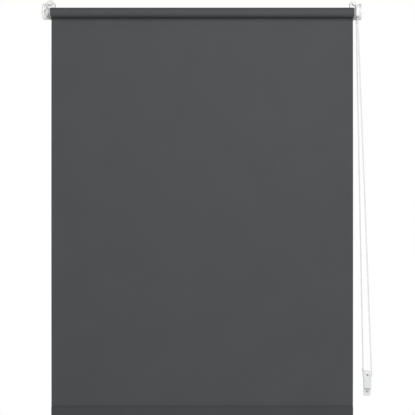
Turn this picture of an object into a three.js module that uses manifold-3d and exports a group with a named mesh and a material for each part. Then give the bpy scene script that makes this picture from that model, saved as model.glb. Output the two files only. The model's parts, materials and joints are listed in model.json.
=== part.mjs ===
// A side-chain roller blind that clamps onto the top edge of a window sash.
//
// Millimetres. X runs to the right, Y towards the window, Z up. The origin lies on the sash's
// room-side face (y = 0), level with its top edge (z = 0), midway between the two clamps.
// The cloth leaves the back of the roll, so the roller turns about +X to raise it.

import * as THREE from "three";
import { mergeVertices } from "three/addons/utils/BufferGeometryUtils.js";
import Module from "manifold-3d";

const wasm = await Module();
wasm.setup();

// ---------------------------------------------------------------- driving dimensions

// Whole blind
const WIDTH = 800; // over the two side covers
const DROP = 991.3; // from the roller axis down to the hem seam
const AXIS_STANDOFF = 27; // roller axis in front of the sash face
const AXIS_BELOW_EDGE = 23; // roller axis below the sash's top edge
const GAP = 0.3; // between pieces that sit against each other
const RUNNING = 0.3; // radial room round a turning or sliding shaft
const PAST = 1; // how far a cut runs past what it cuts

// Cloth
const CLOTH_THICKNESS = 0.35;
const WOUND_LENGTH = 543; // cloth still on the roll
const HEM_HEIGHT = 30;
const HEM_DEPTH = 6.4; // front to back over the hem pocket
const HEM_WALL = 0.5;
const BAR_HEIGHT = 22;
const BAR_DEPTH = 4.4;
const BAR_WALL = 0.9;
const BAR_INSET = 1.2; // end cap's outer face inside the cloth's edge
const CAP_THICKNESS = 1.8;
const CAP_PLUG = 10; // how far an end cap reaches into the bar

// Roller tube
const TUBE_RADIUS = 8.5;
const TUBE_WALL = 0.5;
const TAPE_THICKNESS = 0.2;
const TAPE_ARC = 0.75; // radians of the tube that the tape covers
const TAPE_INSET = 8;
const WRAP_FIT = 0.1; // between tube, tape and cloth
const PLUG_FIT = 0.2; // between the tube and its end plugs
const FLANGE_RADIUS = 10.5;
const FLANGE_THICKNESS = 3.7;

// Idle end
const IDLE_PLUG_LENGTH = 30; // inside the tube
const IDLE_PLUG_FLOOR = 5; // closed end of the plug, behind the spring
const PIN_RADIUS = 3;
const PIN_TRAVEL = 3; // into the plug, to free the roller
const PIN_COLLAR_RADIUS = 8.5;
const PIN_TAIL = 12.7; // of the pin inside the plug, at rest
const COLLAR_NOTCHES = 16;
const COLLAR_NOTCH = 1.2;
const IDLE_SPRING_RADIUS = 2.4;
const IDLE_SPRING_WIRE = 0.35; // wire radius
const IDLE_SPRING_TURNS = 6;

// Drive end
const DRIVE_PLUG_LENGTH = 36; // inside the tube
const CORE_RADIUS = 4;
const CORE_LENGTH = 43.7; // fixed core, inwards from the bracket
const CORE_SCREW_DEPTH = 12; // blind hole in the core's outer end
const CLUTCH_ROOM = 1.3; // radial room for the wrap springs round the core
const WRAP_SPRING_WIRE = 0.3; // wire radius
const WRAP_SPRING_TURNS = 6;
const WRAP_SPRING_LENGTH = 10;
const WRAP_SPRING_SPACING = 3; // before each spring along the core
const WHEEL_WIDTH = 7.4;
const WHEEL_POCKETS = 12;
const WHEEL_LIP = 1.15; // wheel's rim above the pitch circle

// Ball chain
const BALL_PITCH = 6;
const BALL_RADIUS = 2.25;
const THREAD_RADIUS = 0.6; // link between the balls
const POCKET_ROOM = 0.2; // pocket over ball, in radius
const SLOT_HALF = 0.95; // half the slot that the link lies in
const CHAIN_DROP = 915.7; // drive axis down to guide axis; closes the chain on 317 balls
const CONNECTOR_LENGTH = 7;
const CONNECTOR_WALL = 0.75;

// Brackets and covers
const BRACKET_THICKNESS = 2.7; // the plate at the roller's end
const FLANGE_PLATE = 2.8; // the bracket's flange on the clamp
const PLATE_RADIUS = 19.5;
const FLANGE_HALF_HEIGHT = 16;
const COVER_RADIUS = 20.5;
const COVER_WALL = 1.8;
const COVER_RISE = 1; // cover's centre above the roller axis
const COVER_ROUNDING = 2;
const DRIVE_COVER_DEPTH = 4;
const IDLE_COVER_DEPTH = 6.6;
const WINDOW_BELOW = 11.7; // the idle bracket's window, below the axis
const WINDOW_ABOVE = 3.3;
const WINDOW_REACH = 8; // back from the bracket's front
const PIN_SLOT_BELOW = 3.2; // the idle cover's front slot, from below the axis
const PIN_SLOT_HEIGHT = 3;
const PIN_SLOT_DEPTH = 2.6;
const PIN_SLOT_REACH = 5; // back from the cover's front
const GUARD_RADIUS = 18.5;
const GUARD_WALL = 2;
const GUARD_SIDE_WALL = 1.2;
const GUARD_MOUTH = 7.4; // open bottom, this far below the axis
const SCREW_RADIUS = 1.5;
const SCREW_HEAD_RADIUS = 3.2;
const SCREW_HEAD = 1.7;
const SCREW_LAND = 1; // of the flange beside the screw's head

// Clamps
const SASH = 18; // sash thickness at rest
const SASH_MIN = 12;
const SASH_MAX = 22;
const CLAMP_INSET = 14.7; // clamp's middle inside the overall width
const CLAMP_HALF_WIDTH = 11;
const DOME_SHOULDER = 1.5; // where the dome's arc starts, above the sash edge
const BRIDGE_SHORT = 0.5; // bridge's back edge in front of the rear pad, fully closed
const PAD_THICKNESS = 2.5;
const PAD_EDGE = 2; // front pad inside the jaw's edges
const PAD_BELOW_EDGE = 3; // front pad's top below the sash edge
const JAW_THICKNESS = 3;
const JAW_BELOW_AXIS = 16;
const JAW_CORNER = 4;
const REAR_PAD = 1.2;
const REAR_PAD_EDGE = 1; // rear pad inside its jaw's edges
const REAR_JAW = 2.2;
const REAR_JAW_REACH = 14; // below the sash edge
const REAR_JAW_HALF_WIDTH = 9;
const STRAP_HALF_WIDTH = 7;
const STRAP_BOTTOM = 1.9;
const STRAP_HEIGHT = 6.4;
const CLAMP_SCREW_RADIUS = 2;
const THREAD_HOLD = 6.4; // screw still in the jaw's strap, fully open
const KNOB_RADIUS = 6;
const KNOB_THICKNESS = 5;
const KNOB_CHAMFER = 0.8;
const KNOB_FLUTES = 12;
const FLUTE_RADIUS = 1.1;
const FLUTE_OUT = 0.4; // flute's middle outside the knob's radius

// Chain tensioner
const GUIDE_POCKETS = 11;
const GUIDE_WIDTH = 7;
const TENSIONER_OFFSET = 18.9; // guide axis outside the overall width
const TENSIONER_TOP = 1.4; // top edge above the guide axis
const TENSIONER_HEIGHT = 55.1;
const TENSIONER_TOP_WIDTH = 23.3;
const TENSIONER_LIP = 2; // height of the top's straight sides
const TENSIONER_WAIST_WIDTH = 18.6;
const TENSIONER_WAIST = 7.8; // below the top edge
const TENSIONER_FOOT_WIDTH = 17.7;
const TENSIONER_COVER_HEIGHT = 33.4;
const TENSIONER_BACK = 2.5;
const TENSIONER_FOOT = 5; // thickness of the foot under its screw
const TENSIONER_FRONT = 3;
const AXLE_RADIUS = 2;
const WALL_SCREW_RADIUS = 1.9;
const WALL_SCREW_HEAD_RADIUS = 3.6;
const WALL_SCREW_HEAD = 1.7;
const WALL_SCREW_REACH = 14; // into the wall
const WALL_SCREW_ABOVE_FOOT = 12.4;

// Facets round a full turn
const ROUND = 36;
const SMALL_ROUND = 16;

// ---------------------------------------------------------------- derived places

const outer = WIDTH / 2;
const axisY = -AXIS_STANDOFF;
const axisZ = -AXIS_BELOW_EDGE;

// Along the roller, measured outwards from the middle of the blind
const drivePlateOuter = outer - DRIVE_COVER_DEPTH - GAP;
const drivePlateInner = drivePlateOuter - BRACKET_THICKNESS;
const wheelOuter = drivePlateInner - GAP;
const wheelInner = wheelOuter - WHEEL_WIDTH;
const wheelX = (wheelInner + wheelOuter) / 2;
const flangeOuter = wheelInner - GAP;
const flangeInner = flangeOuter - FLANGE_THICKNESS;
const tubeEnd = flangeInner - GAP;
const idlePlateOuter = outer - IDLE_COVER_DEPTH - GAP;
const idlePlateInner = idlePlateOuter - BRACKET_THICKNESS;
const collarOuter = idlePlateInner - GAP;
const collarInner = flangeOuter + PIN_TRAVEL + GAP;

// Cloth
const rollInner = TUBE_RADIUS + TAPE_THICKNESS + 2 * WRAP_FIT;
const rollRadius = Math.sqrt(rollInner ** 2 + (WOUND_LENGTH * CLOTH_THICKNESS) / Math.PI);
const sheetBack = axisY + rollRadius;
const sheetMiddle = sheetBack - CLOTH_THICKNESS / 2;
// A sheet tangent to the roll starts where it has left the roll's surface.
const sheetTop = axisZ - Math.sqrt(rollRadius ** 2 - (rollRadius - CLOTH_THICKNESS) ** 2) - GAP;
const seamZ = axisZ - DROP;
const hemTop = seamZ - GAP;
const hemBottom = seamZ - HEM_HEIGHT;

// Clamps
const clampMiddle = outer - CLAMP_INSET;
const jawBack = -PAD_THICKNESS - GAP;
const jawFront = jawBack - JAW_THICKNESS;
const jawBottom = axisZ - JAW_BELOW_AXIS;
const bridgeBack = SASH_MIN - BRIDGE_SHORT;
const strapFront = jawBack + (SASH - SASH_MIN) + GAP;
const rearJawFront = SASH + REAR_PAD + GAP;
const rearJawBack = rearJawFront + REAR_JAW;
const clampScrewZ = STRAP_BOTTOM + STRAP_HEIGHT / 2;
const clampScrewEnd = strapFront + (SASH_MAX - SASH) + THREAD_HOLD;
const flangeFront = jawFront - GAP - FLANGE_PLATE;
// The bracket's screw goes through its flange, level with the roller axis, beside the end plate.
const bracketScrewX = idlePlateInner - GAP - SCREW_HEAD_RADIUS;

// Chain: the pockets sit a ball pitch apart round each pitch circle.
const pitchRadius = (pockets) => BALL_PITCH / 2 / Math.sin(Math.PI / pockets);
const wheelPitch = pitchRadius(WHEEL_POCKETS);
const guidePitch = pitchRadius(GUIDE_POCKETS);
const guideX = outer + TENSIONER_OFFSET;
const guideY = -TENSIONER_BACK - GAP - GUIDE_WIDTH / 2;
const guideZ = axisZ - CHAIN_DROP;
const wheelRim = wheelPitch + WHEEL_LIP;
const guideRim = guidePitch + WHEEL_LIP;
const rearTop = new THREE.Vector3(wheelX, axisY + wheelPitch, axisZ);
const frontTop = new THREE.Vector3(wheelX, axisY - wheelPitch, axisZ);
const rearBottom = new THREE.Vector3(guideX - guidePitch, guideY, guideZ);
const frontBottom = new THREE.Vector3(guideX + guidePitch, guideY, guideZ);
// How far from each axis the chain is clear of that wheel's rim
const clearOf = (rim, pitch, half) => Math.sqrt(rim ** 2 - (pitch - half) ** 2) + 2 * GAP;

// ---------------------------------------------------------------- solids

// A closed geometry as a manifold solid with its faces outwards.
function solid(geometry) {
  const bare = geometry.clone();
  bare.deleteAttribute("normal");
  bare.deleteAttribute("uv");
  const merged = mergeVertices(bare, 1e-4);
  const index = merged.index.array;
  const triangles = [];
  for (let i = 0; i < index.length; i += 3) {
    const [a, b, c] = [index[i], index[i + 1], index[i + 2]];
    if (a !== b && b !== c && c !== a) triangles.push(a, b, c);
  }
  const make = (list) =>
    new wasm.Manifold(
      new wasm.Mesh({
        numProp: 3,
        vertProperties: merged.attributes.position.array,
        triVerts: new Uint32Array(list),
      }),
    );
  const made = make(triangles);
  return made.volume() < 0 ? make(triangles.reverse()) : made;
}

// A manifold solid as a geometry again.
function geometryOf(made) {
  const mesh = made.getMesh();
  const geometry = new THREE.BufferGeometry();
  geometry.setAttribute("position", new THREE.BufferAttribute(mesh.vertProperties, 3));
  geometry.setIndex(new THREE.BufferAttribute(mesh.triVerts, 1));
  const flat = geometry.toNonIndexed();
  flat.computeVertexNormals();
  return flat;
}

const join = (first, ...others) => others.reduce((made, other) => made.add(other), first);
const cut = (first, ...others) => others.reduce((made, other) => made.subtract(other), first);

// A block between two corners, given as a [low, high] pair along each axis.
function block([x0, x1], [y0, y1], [z0, z1]) {
  const geometry = new THREE.BoxGeometry(x1 - x0, y1 - y0, z1 - z0);
  geometry.translate((x0 + x1) / 2, (y0 + y1) / 2, (z0 + z1) / 2);
  return solid(geometry);
}

// The pair of X values between two distances from the middle, on one side of the blind.
const across = (sign, inner, outerEdge) =>
  sign > 0 ? [inner, outerEdge] : [-outerEdge, -inner];

// A profile of [distance along, radius] points turned about the Y axis through the origin.
function turned(profile, facets) {
  const points = profile.map(([along, radius]) => new THREE.Vector2(radius, along));
  const [first, last] = [points[0], points.at(-1)];
  if (first.x > 0 || last.x > 0) points.push(first.clone());
  return new THREE.LatheGeometry(points, facets);
}

// The same turned about the roller axis, on one side of the blind.
function turnedOnRoller(sign, profile, facets = ROUND, rise = 0) {
  const geometry = turned(profile, facets);
  geometry.rotateZ(-Math.PI / 2);
  geometry.scale(sign, 1, 1);
  geometry.translate(0, axisY, axisZ + rise);
  return solid(geometry);
}

// The same turned about a line along Y.
function turnedAlongY(x, z, profile, facets = SMALL_ROUND) {
  const geometry = turned(profile, facets);
  geometry.translate(x, 0, z);
  return solid(geometry);
}

const rod = (from, to, radius) => [
  [from, 0],
  [from, radius],
  [to, radius],
  [to, 0],
];

const ring = (from, to, inside, outside) => [
  [from, inside],
  [from, outside],
  [to, outside],
  [to, inside],
];

// A screw lying along its profile axis: its shaft, then its head.
const screwProfile = (tip, underHead, headEnd, shaft, head) => [
  [tip, 0],
  [tip, shaft],
  [underHead, shaft],
  [underHead, head],
  [headEnd, head],
  [headEnd, 0],
];

// A shape drawn in X and Z, extruded from one Y to another.
function extrudedAlongY(shape, y0, y1, curveSegments = 12) {
  const geometry = new THREE.ExtrudeGeometry(shape, {
    depth: y1 - y0,
    bevelEnabled: false,
    curveSegments,
  });
  geometry.rotateX(Math.PI / 2);
  geometry.translate(0, y1, 0);
  return solid(geometry);
}

// A shape drawn in Y and Z, extruded from one X to another.
function extrudedAlongX(shape, x0, x1, curveSegments = 12) {
  const geometry = new THREE.ExtrudeGeometry(shape, {
    depth: x1 - x0,
    bevelEnabled: false,
    curveSegments,
  });
  const turn = new THREE.Matrix4().makeBasis(
    new THREE.Vector3(0, 1, 0),
    new THREE.Vector3(0, 0, 1),
    new THREE.Vector3(1, 0, 0),
  );
  geometry.applyMatrix4(turn);
  geometry.translate(x0, 0, 0);
  return solid(geometry);
}

// A round tube along a curve, with a flat end at each end of it.
function tubeAlong(curve, radius, sides, steps) {
  const corners = [];
  for (let i = 0; i < sides; i++) {
    const angle = (2 * Math.PI * i) / sides;
    corners.push(new THREE.Vector2(radius * Math.cos(angle), radius * Math.sin(angle)));
  }
  const settings = { steps, bevelEnabled: false, extrudePath: curve };
  return solid(new THREE.ExtrudeGeometry(new THREE.Shape(corners), settings));
}

// A coil spring of round wire about the roller axis.
class CoilAlongX extends THREE.Curve {
  constructor(from, to, radius, turns) {
    super();
    Object.assign(this, { from, to, radius, turns });
  }
  getPoint(t, target = new THREE.Vector3()) {
    const angle = 2 * Math.PI * this.turns * t;
    const along = this.from + (this.to - this.from) * t;
    const y = axisY + this.radius * Math.cos(angle);
    const z = axisZ + this.radius * Math.sin(angle);
    return target.set(along, y, z);
  }
}

function coil(from, to, radius, wire, turns) {
  const stepsPerTurn = 8;
  const wireSides = 5;
  return tubeAlong(new CoilAlongX(from, to, radius, turns), wire, wireSides, turns * stepsPerTurn);
}

// A ball chain's wheel about the Y axis through the origin, with a pocket for each ball and a
// slot for the links. The first pocket is at the given angle from +X towards -Z.
function ballWheel(pockets, width, bore, phase) {
  const pitch = pitchRadius(pockets);
  const rim = pitch + WHEEL_LIP;
  const half = width / 2;
  const lip = width / 2 - BALL_RADIUS;
  const floor = pitch - THREAD_RADIUS - GAP;
  const profile = [
    [-half, bore],
    [-half, rim - lip / 2],
    [-half + lip / 2, rim],
    [-SLOT_HALF - lip, rim],
    [-SLOT_HALF, pitch],
    [-SLOT_HALF, floor],
    [SLOT_HALF, floor],
    [SLOT_HALF, pitch],
    [SLOT_HALF + lip, rim],
    [half - lip / 2, rim],
    [half, rim - lip / 2],
    [half, bore],
  ];
  const pocketsCut = [];
  for (let i = 0; i < pockets; i++) {
    const angle = phase + (2 * Math.PI * i) / pockets;
    const ball = new THREE.SphereGeometry(BALL_RADIUS + POCKET_ROOM, 8, 5);
    ball.translate(pitch * Math.cos(angle), 0, -pitch * Math.sin(angle));
    pocketsCut.push(solid(ball));
  }
  const facets = 2 * pockets;
  return geometryOf(cut(solid(turned(profile, facets)), ...pocketsCut));
}

// ---------------------------------------------------------------- materials

const finish = (color, roughness, metalness = 0) => ({ color, roughness, metalness });
const WHITE_PLASTIC = finish(0xf1f1ee, 0.4);
const CLEAR_PLASTIC = finish(0xe9ebea, 0.2);
const CHAIN_PLASTIC = finish(0xeeeeea, 0.35);
const GREY_PLASTIC = finish(0xb9bab8, 0.45);
const CLOTH = finish(0x4e4f51, 0.92);
const STEEL = finish(0xb4b7ba, 0.35, 1);
const ALUMINIUM = finish(0xc4c6c8, 0.4, 1);
const RUBBER = finish(0x6a6a6a, 0.9);
const TAPE = finish(0xe2ddc8, 0.6);

const blind = new THREE.Group();

function piece(name, made, look) {
  const geometry = made.isBufferGeometry ? made : geometryOf(made);
  const mesh = new THREE.Mesh(geometry, new THREE.MeshStandardMaterial(look));
  mesh.name = name;
  blind.add(mesh);
  return mesh;
}

// ---------------------------------------------------------------- clamps

// A tab with a round top and, if asked, rounded bottom corners, drawn in X and Z.
function domed(middle, bottom, corner = 0) {
  const [left, right] = [middle - CLAMP_HALF_WIDTH, middle + CLAMP_HALF_WIDTH];
  const shape = new THREE.Shape();
  shape.moveTo(left + corner, bottom);
  shape.lineTo(right - corner, bottom);
  if (corner) shape.absarc(right - corner, bottom + corner, corner, -Math.PI / 2, 0, false);
  shape.lineTo(right, DOME_SHOULDER);
  shape.absarc(middle, DOME_SHOULDER, CLAMP_HALF_WIDTH, 0, Math.PI, false);
  shape.lineTo(left, bottom + corner);
  if (corner) shape.absarc(left + corner, bottom + corner, corner, Math.PI, 1.5 * Math.PI, false);
  return shape;
}

function clamp(name, sign) {
  const middle = sign * clampMiddle;
  const room = STRAP_HALF_WIDTH + GAP;
  const tunnel = block(
    [middle - room, middle + room],
    [jawBack, bridgeBack + PAST],
    [STRAP_BOTTOM - GAP, STRAP_BOTTOM + STRAP_HEIGHT + GAP],
  );
  const screwHole = rod(jawFront - PAST, jawBack + PAST, CLAMP_SCREW_RADIUS + RUNNING);
  const bracketHole = rod(jawFront - PAST, jawBack + PAST, SCREW_RADIUS + RUNNING);
  const body = cut(
    join(
      extrudedAlongY(domed(middle, jawBottom, JAW_CORNER), jawFront, jawBack),
      extrudedAlongY(domed(middle, 0), jawFront, bridgeBack),
    ),
    tunnel,
    turnedAlongY(middle, clampScrewZ, screwHole),
    turnedAlongY(sign * bracketScrewX, axisZ, bracketHole),
  );
  piece(`clamp_body_${name}`, body, WHITE_PLASTIC);

  const padHalf = CLAMP_HALF_WIDTH - PAD_EDGE;
  const pad = block(
    [middle - padHalf, middle + padHalf],
    [-PAD_THICKNESS, 0],
    [jawBottom + PAD_EDGE, -PAD_BELOW_EDGE],
  );
  piece(`front_pad_${name}`, pad, RUBBER);

  const strap = block(
    [middle - STRAP_HALF_WIDTH, middle + STRAP_HALF_WIDTH],
    [strapFront, rearJawBack],
    [STRAP_BOTTOM, STRAP_BOTTOM + STRAP_HEIGHT],
  );
  const rearJaw = block(
    [middle - REAR_JAW_HALF_WIDTH, middle + REAR_JAW_HALF_WIDTH],
    [rearJawFront, rearJawBack],
    [-REAR_JAW_REACH, STRAP_BOTTOM + STRAP_HEIGHT],
  );
  const threadHole = rod(strapFront - PAST, rearJawBack + PAST, CLAMP_SCREW_RADIUS + RUNNING);
  const jaw = cut(join(strap, rearJaw), turnedAlongY(middle, clampScrewZ, threadHole));
  piece(`clamp_jaw_${name}`, jaw, WHITE_PLASTIC);

  const rearPadHalf = REAR_JAW_HALF_WIDTH - REAR_PAD_EDGE;
  const rearPad = block(
    [middle - rearPadHalf, middle + rearPadHalf],
    [SASH, SASH + REAR_PAD],
    [-REAR_JAW_REACH + REAR_PAD_EDGE, -REAR_PAD_EDGE],
  );
  piece(`jaw_pad_${name}`, rearPad, RUBBER);

  const knobBack = jawFront - GAP;
  const knobFront = knobBack - KNOB_THICKNESS;
  const screw = turnedAlongY(
    middle,
    clampScrewZ,
    [
      [knobFront, 0],
      [knobFront, KNOB_RADIUS - KNOB_CHAMFER],
      [knobFront + KNOB_CHAMFER, KNOB_RADIUS],
      [knobBack, KNOB_RADIUS],
      [knobBack, CLAMP_SCREW_RADIUS],
      [clampScrewEnd, CLAMP_SCREW_RADIUS],
      [clampScrewEnd, 0],
    ],
    ROUND,
  );
  const flute = rod(knobFront - PAST, knobBack + PAST, FLUTE_RADIUS);
  const flutes = [];
  for (let i = 0; i < KNOB_FLUTES; i++) {
    const angle = (2 * Math.PI * i) / KNOB_FLUTES;
    const x = middle + (KNOB_RADIUS + FLUTE_OUT) * Math.cos(angle);
    const z = clampScrewZ + (KNOB_RADIUS + FLUTE_OUT) * Math.sin(angle);
    flutes.push(turnedAlongY(x, z, flute, 6));
  }
  piece(`clamp_screw_${name}`, cut(screw, ...flutes), WHITE_PLASTIC);
}

// ---------------------------------------------------------------- brackets and covers

// A disc in Y and Z about the roller axis.
function disc(radius) {
  return new THREE.Shape().absarc(axisY, axisZ, radius, 0, 2 * Math.PI, false);
}

function bracket(name, sign, plateInner, plateOuter, socket, ...openings) {
  const plate = across(sign, plateInner, plateOuter);
  const heights = [axisZ - FLANGE_HALF_HEIGHT, axisZ + FLANGE_HALF_HEIGHT];
  const flangeBack = jawFront - GAP;
  const flangeReach = bracketScrewX - SCREW_HEAD_RADIUS - SCREW_LAND;
  const screwHole = rod(flangeFront - PAST, flangeBack + PAST, SCREW_RADIUS + RUNNING);
  const body = cut(
    join(
      extrudedAlongX(disc(PLATE_RADIUS), ...plate, ROUND / 2),
      block(plate, [axisY, flangeBack], heights),
      block(across(sign, flangeReach, plateOuter), [flangeFront, flangeBack], heights),
    ),
    turnedOnRoller(sign, rod(plateInner - PAST, plateOuter + PAST, socket), SMALL_ROUND),
    turnedAlongY(sign * bracketScrewX, axisZ, screwHole),
    ...openings,
  );
  piece(`bracket_${name}`, body, WHITE_PLASTIC);

  const underHead = flangeFront - GAP;
  const tip = jawBack - GAP;
  const headEnd = underHead - SCREW_HEAD;
  const screw = screwProfile(tip, underHead, headEnd, SCREW_RADIUS, SCREW_HEAD_RADIUS);
  piece(`bracket_screw_${name}`, turnedAlongY(sign * bracketScrewX, axisZ, screw), STEEL);
}

// The opening in the idle bracket's front edge, beside the pin's collar.
function collarWindow() {
  const front = axisY - PLATE_RADIUS;
  return block(
    across(-1, idlePlateInner - PAST, idlePlateOuter + PAST),
    [front - PAST, front + WINDOW_REACH],
    [axisZ - WINDOW_BELOW, axisZ + WINDOW_ABOVE],
  );
}

// A round cup, open towards the bracket, with a rounded outer edge.
function sideCover(sign, depth) {
  const body = [
    [outer - depth, 0],
    [outer - depth, COVER_RADIUS],
  ];
  const arcSteps = 4;
  for (let i = 0; i <= arcSteps; i++) {
    const angle = (Math.PI / 2) * (i / arcSteps);
    body.push([
      outer - COVER_ROUNDING + COVER_ROUNDING * Math.sin(angle),
      COVER_RADIUS - COVER_ROUNDING + COVER_ROUNDING * Math.cos(angle),
    ]);
  }
  body.push([outer, 0]);
  const hollow = rod(outer - depth - PAST, outer - COVER_WALL, COVER_RADIUS - COVER_WALL);
  return cut(
    turnedOnRoller(sign, body, ROUND, COVER_RISE),
    turnedOnRoller(sign, hollow, ROUND, COVER_RISE),
  );
}

function covers() {
  // The idle cover has a slot at the front, a mark for the side that frees the roller.
  const front = axisY - COVER_RADIUS;
  const bottom = axisZ - PIN_SLOT_BELOW;
  const slot = block(
    across(-1, outer - PIN_SLOT_DEPTH, outer + PAST),
    [front - PAST, front + PIN_SLOT_REACH],
    [bottom, bottom + PIN_SLOT_HEIGHT],
  );
  piece("side_cover_left", cut(sideCover(-1, IDLE_COVER_DEPTH), slot), WHITE_PLASTIC);
  piece("side_cover_right", sideCover(1, DRIVE_COVER_DEPTH), WHITE_PLASTIC);
}

// The shell round the chain wheel, open below for the chain and behind for the bracket's flange.
function chainGuard() {
  const from = flangeOuter + GAP;
  const sideHole = wheelRim + 2 * GAP;
  const inside = GUARD_RADIUS - GUARD_WALL;
  const shell = turnedOnRoller(1, [
    [from, sideHole],
    [from, GUARD_RADIUS],
    [wheelOuter, GUARD_RADIUS],
    [wheelOuter, inside],
    [from + GUARD_SIDE_WALL, inside],
    [from + GUARD_SIDE_WALL, sideHole],
  ]);
  const chainHalf = wheelPitch + BALL_RADIUS + 2 * GAP;
  const below = block(
    [from - PAST, wheelOuter + PAST],
    [axisY - chainHalf, axisY + chainHalf],
    [axisZ - GUARD_RADIUS - PAST, axisZ - GUARD_MOUTH],
  );
  const behind = block(
    [from - PAST, wheelOuter + PAST],
    [flangeFront - GAP - SCREW_HEAD - GAP, axisY + GUARD_RADIUS + PAST],
    [axisZ - GUARD_RADIUS - PAST, axisZ + GUARD_RADIUS + PAST],
  );
  piece("chain_guard", cut(shell, below, behind), WHITE_PLASTIC);
}

// ---------------------------------------------------------------- roller

function roller() {
  const tube = ring(-tubeEnd, tubeEnd, TUBE_RADIUS - TUBE_WALL, TUBE_RADIUS);
  piece("roller_tube", turnedOnRoller(1, tube), STEEL);
  const wound = ring(-tubeEnd, tubeEnd, rollInner, rollRadius);
  piece("fabric_roll", turnedOnRoller(1, wound), CLOTH);

  // The tape that holds the cloth's first edge lies on the top of the tube.
  const [inside, outside] = [TUBE_RADIUS + WRAP_FIT, TUBE_RADIUS + WRAP_FIT + TAPE_THICKNESS];
  const [start, end] = [Math.PI / 2 - TAPE_ARC / 2, Math.PI / 2 + TAPE_ARC / 2];
  const tape = new THREE.Shape();
  tape.absarc(axisY, axisZ, outside, start, end, false);
  tape.absarc(axisY, axisZ, inside, end, start, true);
  const tapeEnd = tubeEnd - TAPE_INSET;
  piece("fabric_tape", extrudedAlongX(tape, -tapeEnd, tapeEnd, 8), TAPE);
}

function idleEnd() {
  const insert = TUBE_RADIUS - TUBE_WALL - PLUG_FIT;
  const plugStart = tubeEnd - IDLE_PLUG_LENGTH;
  const boreFloor = plugStart + IDLE_PLUG_FLOOR;
  const bore = PIN_RADIUS + RUNNING;
  const plug = [
    [plugStart, 0],
    [plugStart, insert],
    [flangeInner, insert],
    [flangeInner, FLANGE_RADIUS],
    [flangeOuter, FLANGE_RADIUS],
    [flangeOuter, bore],
    [boreFloor, bore],
    [boreFloor, 0],
  ];
  piece("idle_plug", turnedOnRoller(-1, plug), GREY_PLASTIC);

  const pinTail = flangeOuter - PIN_TAIL;
  const pin = turnedOnRoller(-1, [
    [pinTail, 0],
    [pinTail, PIN_RADIUS],
    [collarInner, PIN_RADIUS],
    [collarInner, PIN_COLLAR_RADIUS],
    [collarOuter, PIN_COLLAR_RADIUS],
    [collarOuter, PIN_RADIUS],
    [idlePlateOuter, PIN_RADIUS],
    [idlePlateOuter, 0],
  ]);
  const notchSpan = across(-1, collarInner - PAST, collarOuter + PAST);
  const notchHalf = COLLAR_NOTCH / 2;
  const notches = [];
  for (let i = 0; i < COLLAR_NOTCHES; i++) {
    const angle = (2 * Math.PI * i) / COLLAR_NOTCHES;
    const y = axisY + PIN_COLLAR_RADIUS * Math.cos(angle);
    const z = axisZ + PIN_COLLAR_RADIUS * Math.sin(angle);
    const [ySpan, zSpan] = [y, z].map((at) => [at - notchHalf, at + notchHalf]);
    notches.push(block(notchSpan, ySpan, zSpan));
  }
  piece("idle_pin", cut(pin, ...notches), WHITE_PLASTIC);

  const spring = coil(
    ...across(-1, boreFloor + 2 * GAP, pinTail - 2 * GAP),
    IDLE_SPRING_RADIUS,
    IDLE_SPRING_WIRE,
    IDLE_SPRING_TURNS,
  );
  piece("idle_spring", spring, STEEL);
}

function driveEnd() {
  const insert = TUBE_RADIUS - TUBE_WALL - PLUG_FIT;
  const plugStart = tubeEnd - DRIVE_PLUG_LENGTH;
  const bore = CORE_RADIUS + CLUTCH_ROOM;
  const plug = [
    [plugStart, bore],
    [plugStart, insert],
    [flangeInner, insert],
    [flangeInner, FLANGE_RADIUS],
    [flangeOuter, FLANGE_RADIUS],
    [flangeOuter, bore],
  ];
  piece("drive_plug", turnedOnRoller(1, plug), GREY_PLASTIC);

  const wheel = ballWheel(WHEEL_POCKETS, WHEEL_WIDTH, CORE_RADIUS + RUNNING, 0);
  wheel.rotateZ(-Math.PI / 2);
  wheel.translate(wheelX, axisY, axisZ);
  piece("chain_wheel", solid(wheel), WHITE_PLASTIC);

  const coreEnd = drivePlateInner - GAP;
  const coreStart = coreEnd - CORE_LENGTH;
  const core = [
    [coreStart, 0],
    [coreStart, CORE_RADIUS],
    [coreEnd, CORE_RADIUS],
    [coreEnd, SCREW_RADIUS + RUNNING],
    [coreEnd - CORE_SCREW_DEPTH, SCREW_RADIUS + RUNNING],
    [coreEnd - CORE_SCREW_DEPTH, 0],
  ];
  piece("drive_core", turnedOnRoller(1, core), GREY_PLASTIC);

  const underHead = drivePlateOuter + GAP;
  const headEnd = underHead + SCREW_HEAD;
  const tip = coreEnd - CORE_SCREW_DEPTH + GAP;
  const screw = screwProfile(tip, underHead, headEnd, SCREW_RADIUS, SCREW_HEAD_RADIUS);
  piece("core_screw", turnedOnRoller(1, screw, SMALL_ROUND), STEEL);

  const springRadius = CORE_RADIUS + CLUTCH_ROOM / 2;
  ["inner", "outer"].forEach((place, i) => {
    const from = coreStart + WRAP_SPRING_SPACING + i * (WRAP_SPRING_LENGTH + WRAP_SPRING_SPACING);
    const spring = coil(
      from,
      from + WRAP_SPRING_LENGTH,
      springRadius,
      WRAP_SPRING_WIRE,
      WRAP_SPRING_TURNS,
    );
    piece(`wrap_spring_${place}`, spring, STEEL);
  });
}

// ---------------------------------------------------------------- chain

// Points round an arc of a wheel, from a start angle through a sweep.
function arcPoints(place, sweepStart, sweep, count) {
  const points = [];
  for (let i = 0; i <= count; i++) points.push(place(sweepStart + (sweep * i) / count));
  return points;
}

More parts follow.
